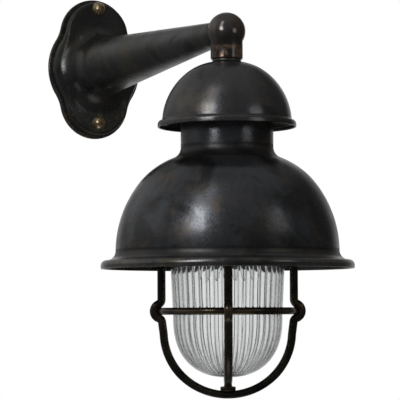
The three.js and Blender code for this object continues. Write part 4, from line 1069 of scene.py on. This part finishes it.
# and its share of that by the rise above level, where the ceiling is alike all round
ROOM_RISE = ((-90, 0.3), (-62, 0.15), (-40, 0.1), (-27, 0.2), (-17, 0.25), (-6, 0.35), (8, 0.6), (16, 0.9),
             (24, 1.0))
CEILING, CEILING_FROM, CEILING_TO = 0.2, 30.0, 70.0
# What is seen bent through the glass: white behind the lamp, darker to its sides, by the cosine of the bend
BENT_DARK, BENT_FROM, BENT_TO = 0.38, 0.76, 0.985
# What gloss sees at grazing angles: the pale wall behind the lamp
GLOW_FROM, GLOW = 0.66, 0.55
DIFFUSE_LEVEL = 0.5
FLOOR_RADIUS, FLOOR_HEIGHT = 500, -1500.0


def ramp(tree, value, stops, low, high):
    """A level that changes with a value, through stops of (value, level) from the lowest to the highest."""
    share = add_node(tree, "MapRange", {"Value": value, "From Min": low, "From Max": high})
    node = tree.nodes.new("ShaderNodeValToRGB")
    band = node.color_ramp
    band.interpolation = "EASE"
    while len(band.elements) < len(stops):
        band.elements.new(0.5)
    for element, (place, level) in zip(band.elements, stops):
        element.position = (place - low) / (high - low)
    for element, (place, level) in zip(band.elements, stops):
        element.color = (level, level, level, 1)
    tree.links.new(share.outputs["Result"], node.inputs["Fac"])
    return node.outputs["Color"]


def set_world():
    """White to the camera, and through glass white behind the lamp and darker sideways. Gloss sees a room
    that is lighter on the left."""
    world = bpy.data.worlds.new("studio")
    bpy.context.scene.world = world
    world.use_nodes = True
    tree = world.node_tree
    tree.nodes.clear()
    path = add_node(tree, "LightPath")
    facing = add_node(tree, "TexCoord").outputs["Generated"]

    def maths(operation, *values):
        return add_node(tree, "Math", enumerate(values), operation=operation).outputs[0]

    def along(way):
        return add_node(tree, "VectorMath", {0: facing, 1: way}, operation="DOT_PRODUCT").outputs["Value"]

    def mixed(share, a, b):
        return add_node(tree, "Mix", {0: share, 2: a, 3: b}).outputs[0]

    turn = maths("DEGREES", maths("ARCTAN2", along(RIGHT), along(BACK)))
    rise = maths("DEGREES", maths("ARCSINE", along(UP)))
    level = maths("MULTIPLY", ramp(tree, turn, ROOM_ROUND, -180, 180), ramp(tree, rise, ROOM_RISE, -90, 90))
    room = mixed(smooth_step(tree, rise, CEILING_FROM, CEILING_TO), level, CEILING)
    room = maths("MAXIMUM", room, smooth_step(tree, along(-BACK), GLOW_FROM, 1.0, 0.0, GLOW))
    bent = smooth_step(tree, along(-BACK), BENT_FROM, BENT_TO, BENT_DARK)
    seen = mixed(path.outputs["Is Glossy Ray"], DIFFUSE_LEVEL, room)
    seen = mixed(path.outputs["Is Transmission Ray"], seen, bent)
    seen = mixed(path.outputs["Is Camera Ray"], seen, 1.0)
    background = add_node(tree, "Background", {"Color": (1, 1, 1, 1), "Strength": seen})
    add_node(tree, "OutputWorld", {"Surface": background.outputs[0]})


def pale_floor():
    """A round floor well below the lamp, plain and pale."""
    t = all_round(64)
    rim = about_axis(FLOOR_RADIUS, FLOOR_HEIGHT + 0 * t, t)
    mesh = bpy.data.meshes.new("floor")
    mesh.from_pydata((rim * MM).tolist(), [], [list(range(len(t)))])
    mesh.materials.append(plain("pale_floor", (236, 236, 234), (230, 230, 228), 3, 0.8))
    floor = bpy.data.objects.new("floor", mesh)
    bpy.context.scene.collection.objects.link(floor)


set_camera()
set_world()
pale_floor()
softbox("key_softbox", left=32, distance=0.62, height_above=0.13, width=0.18, height=0.24, level=6.5)
softbox("upper_softbox", left=32, distance=0.60, height_above=0.50, width=0.20, height=0.44, level=1.6)
softbox("side_softbox", left=-48.5, distance=0.416, height_above=-0.015, width=0.14, height=0.16, level=0.9)
bpy.context.scene.view_settings.view_transform = "Standard"
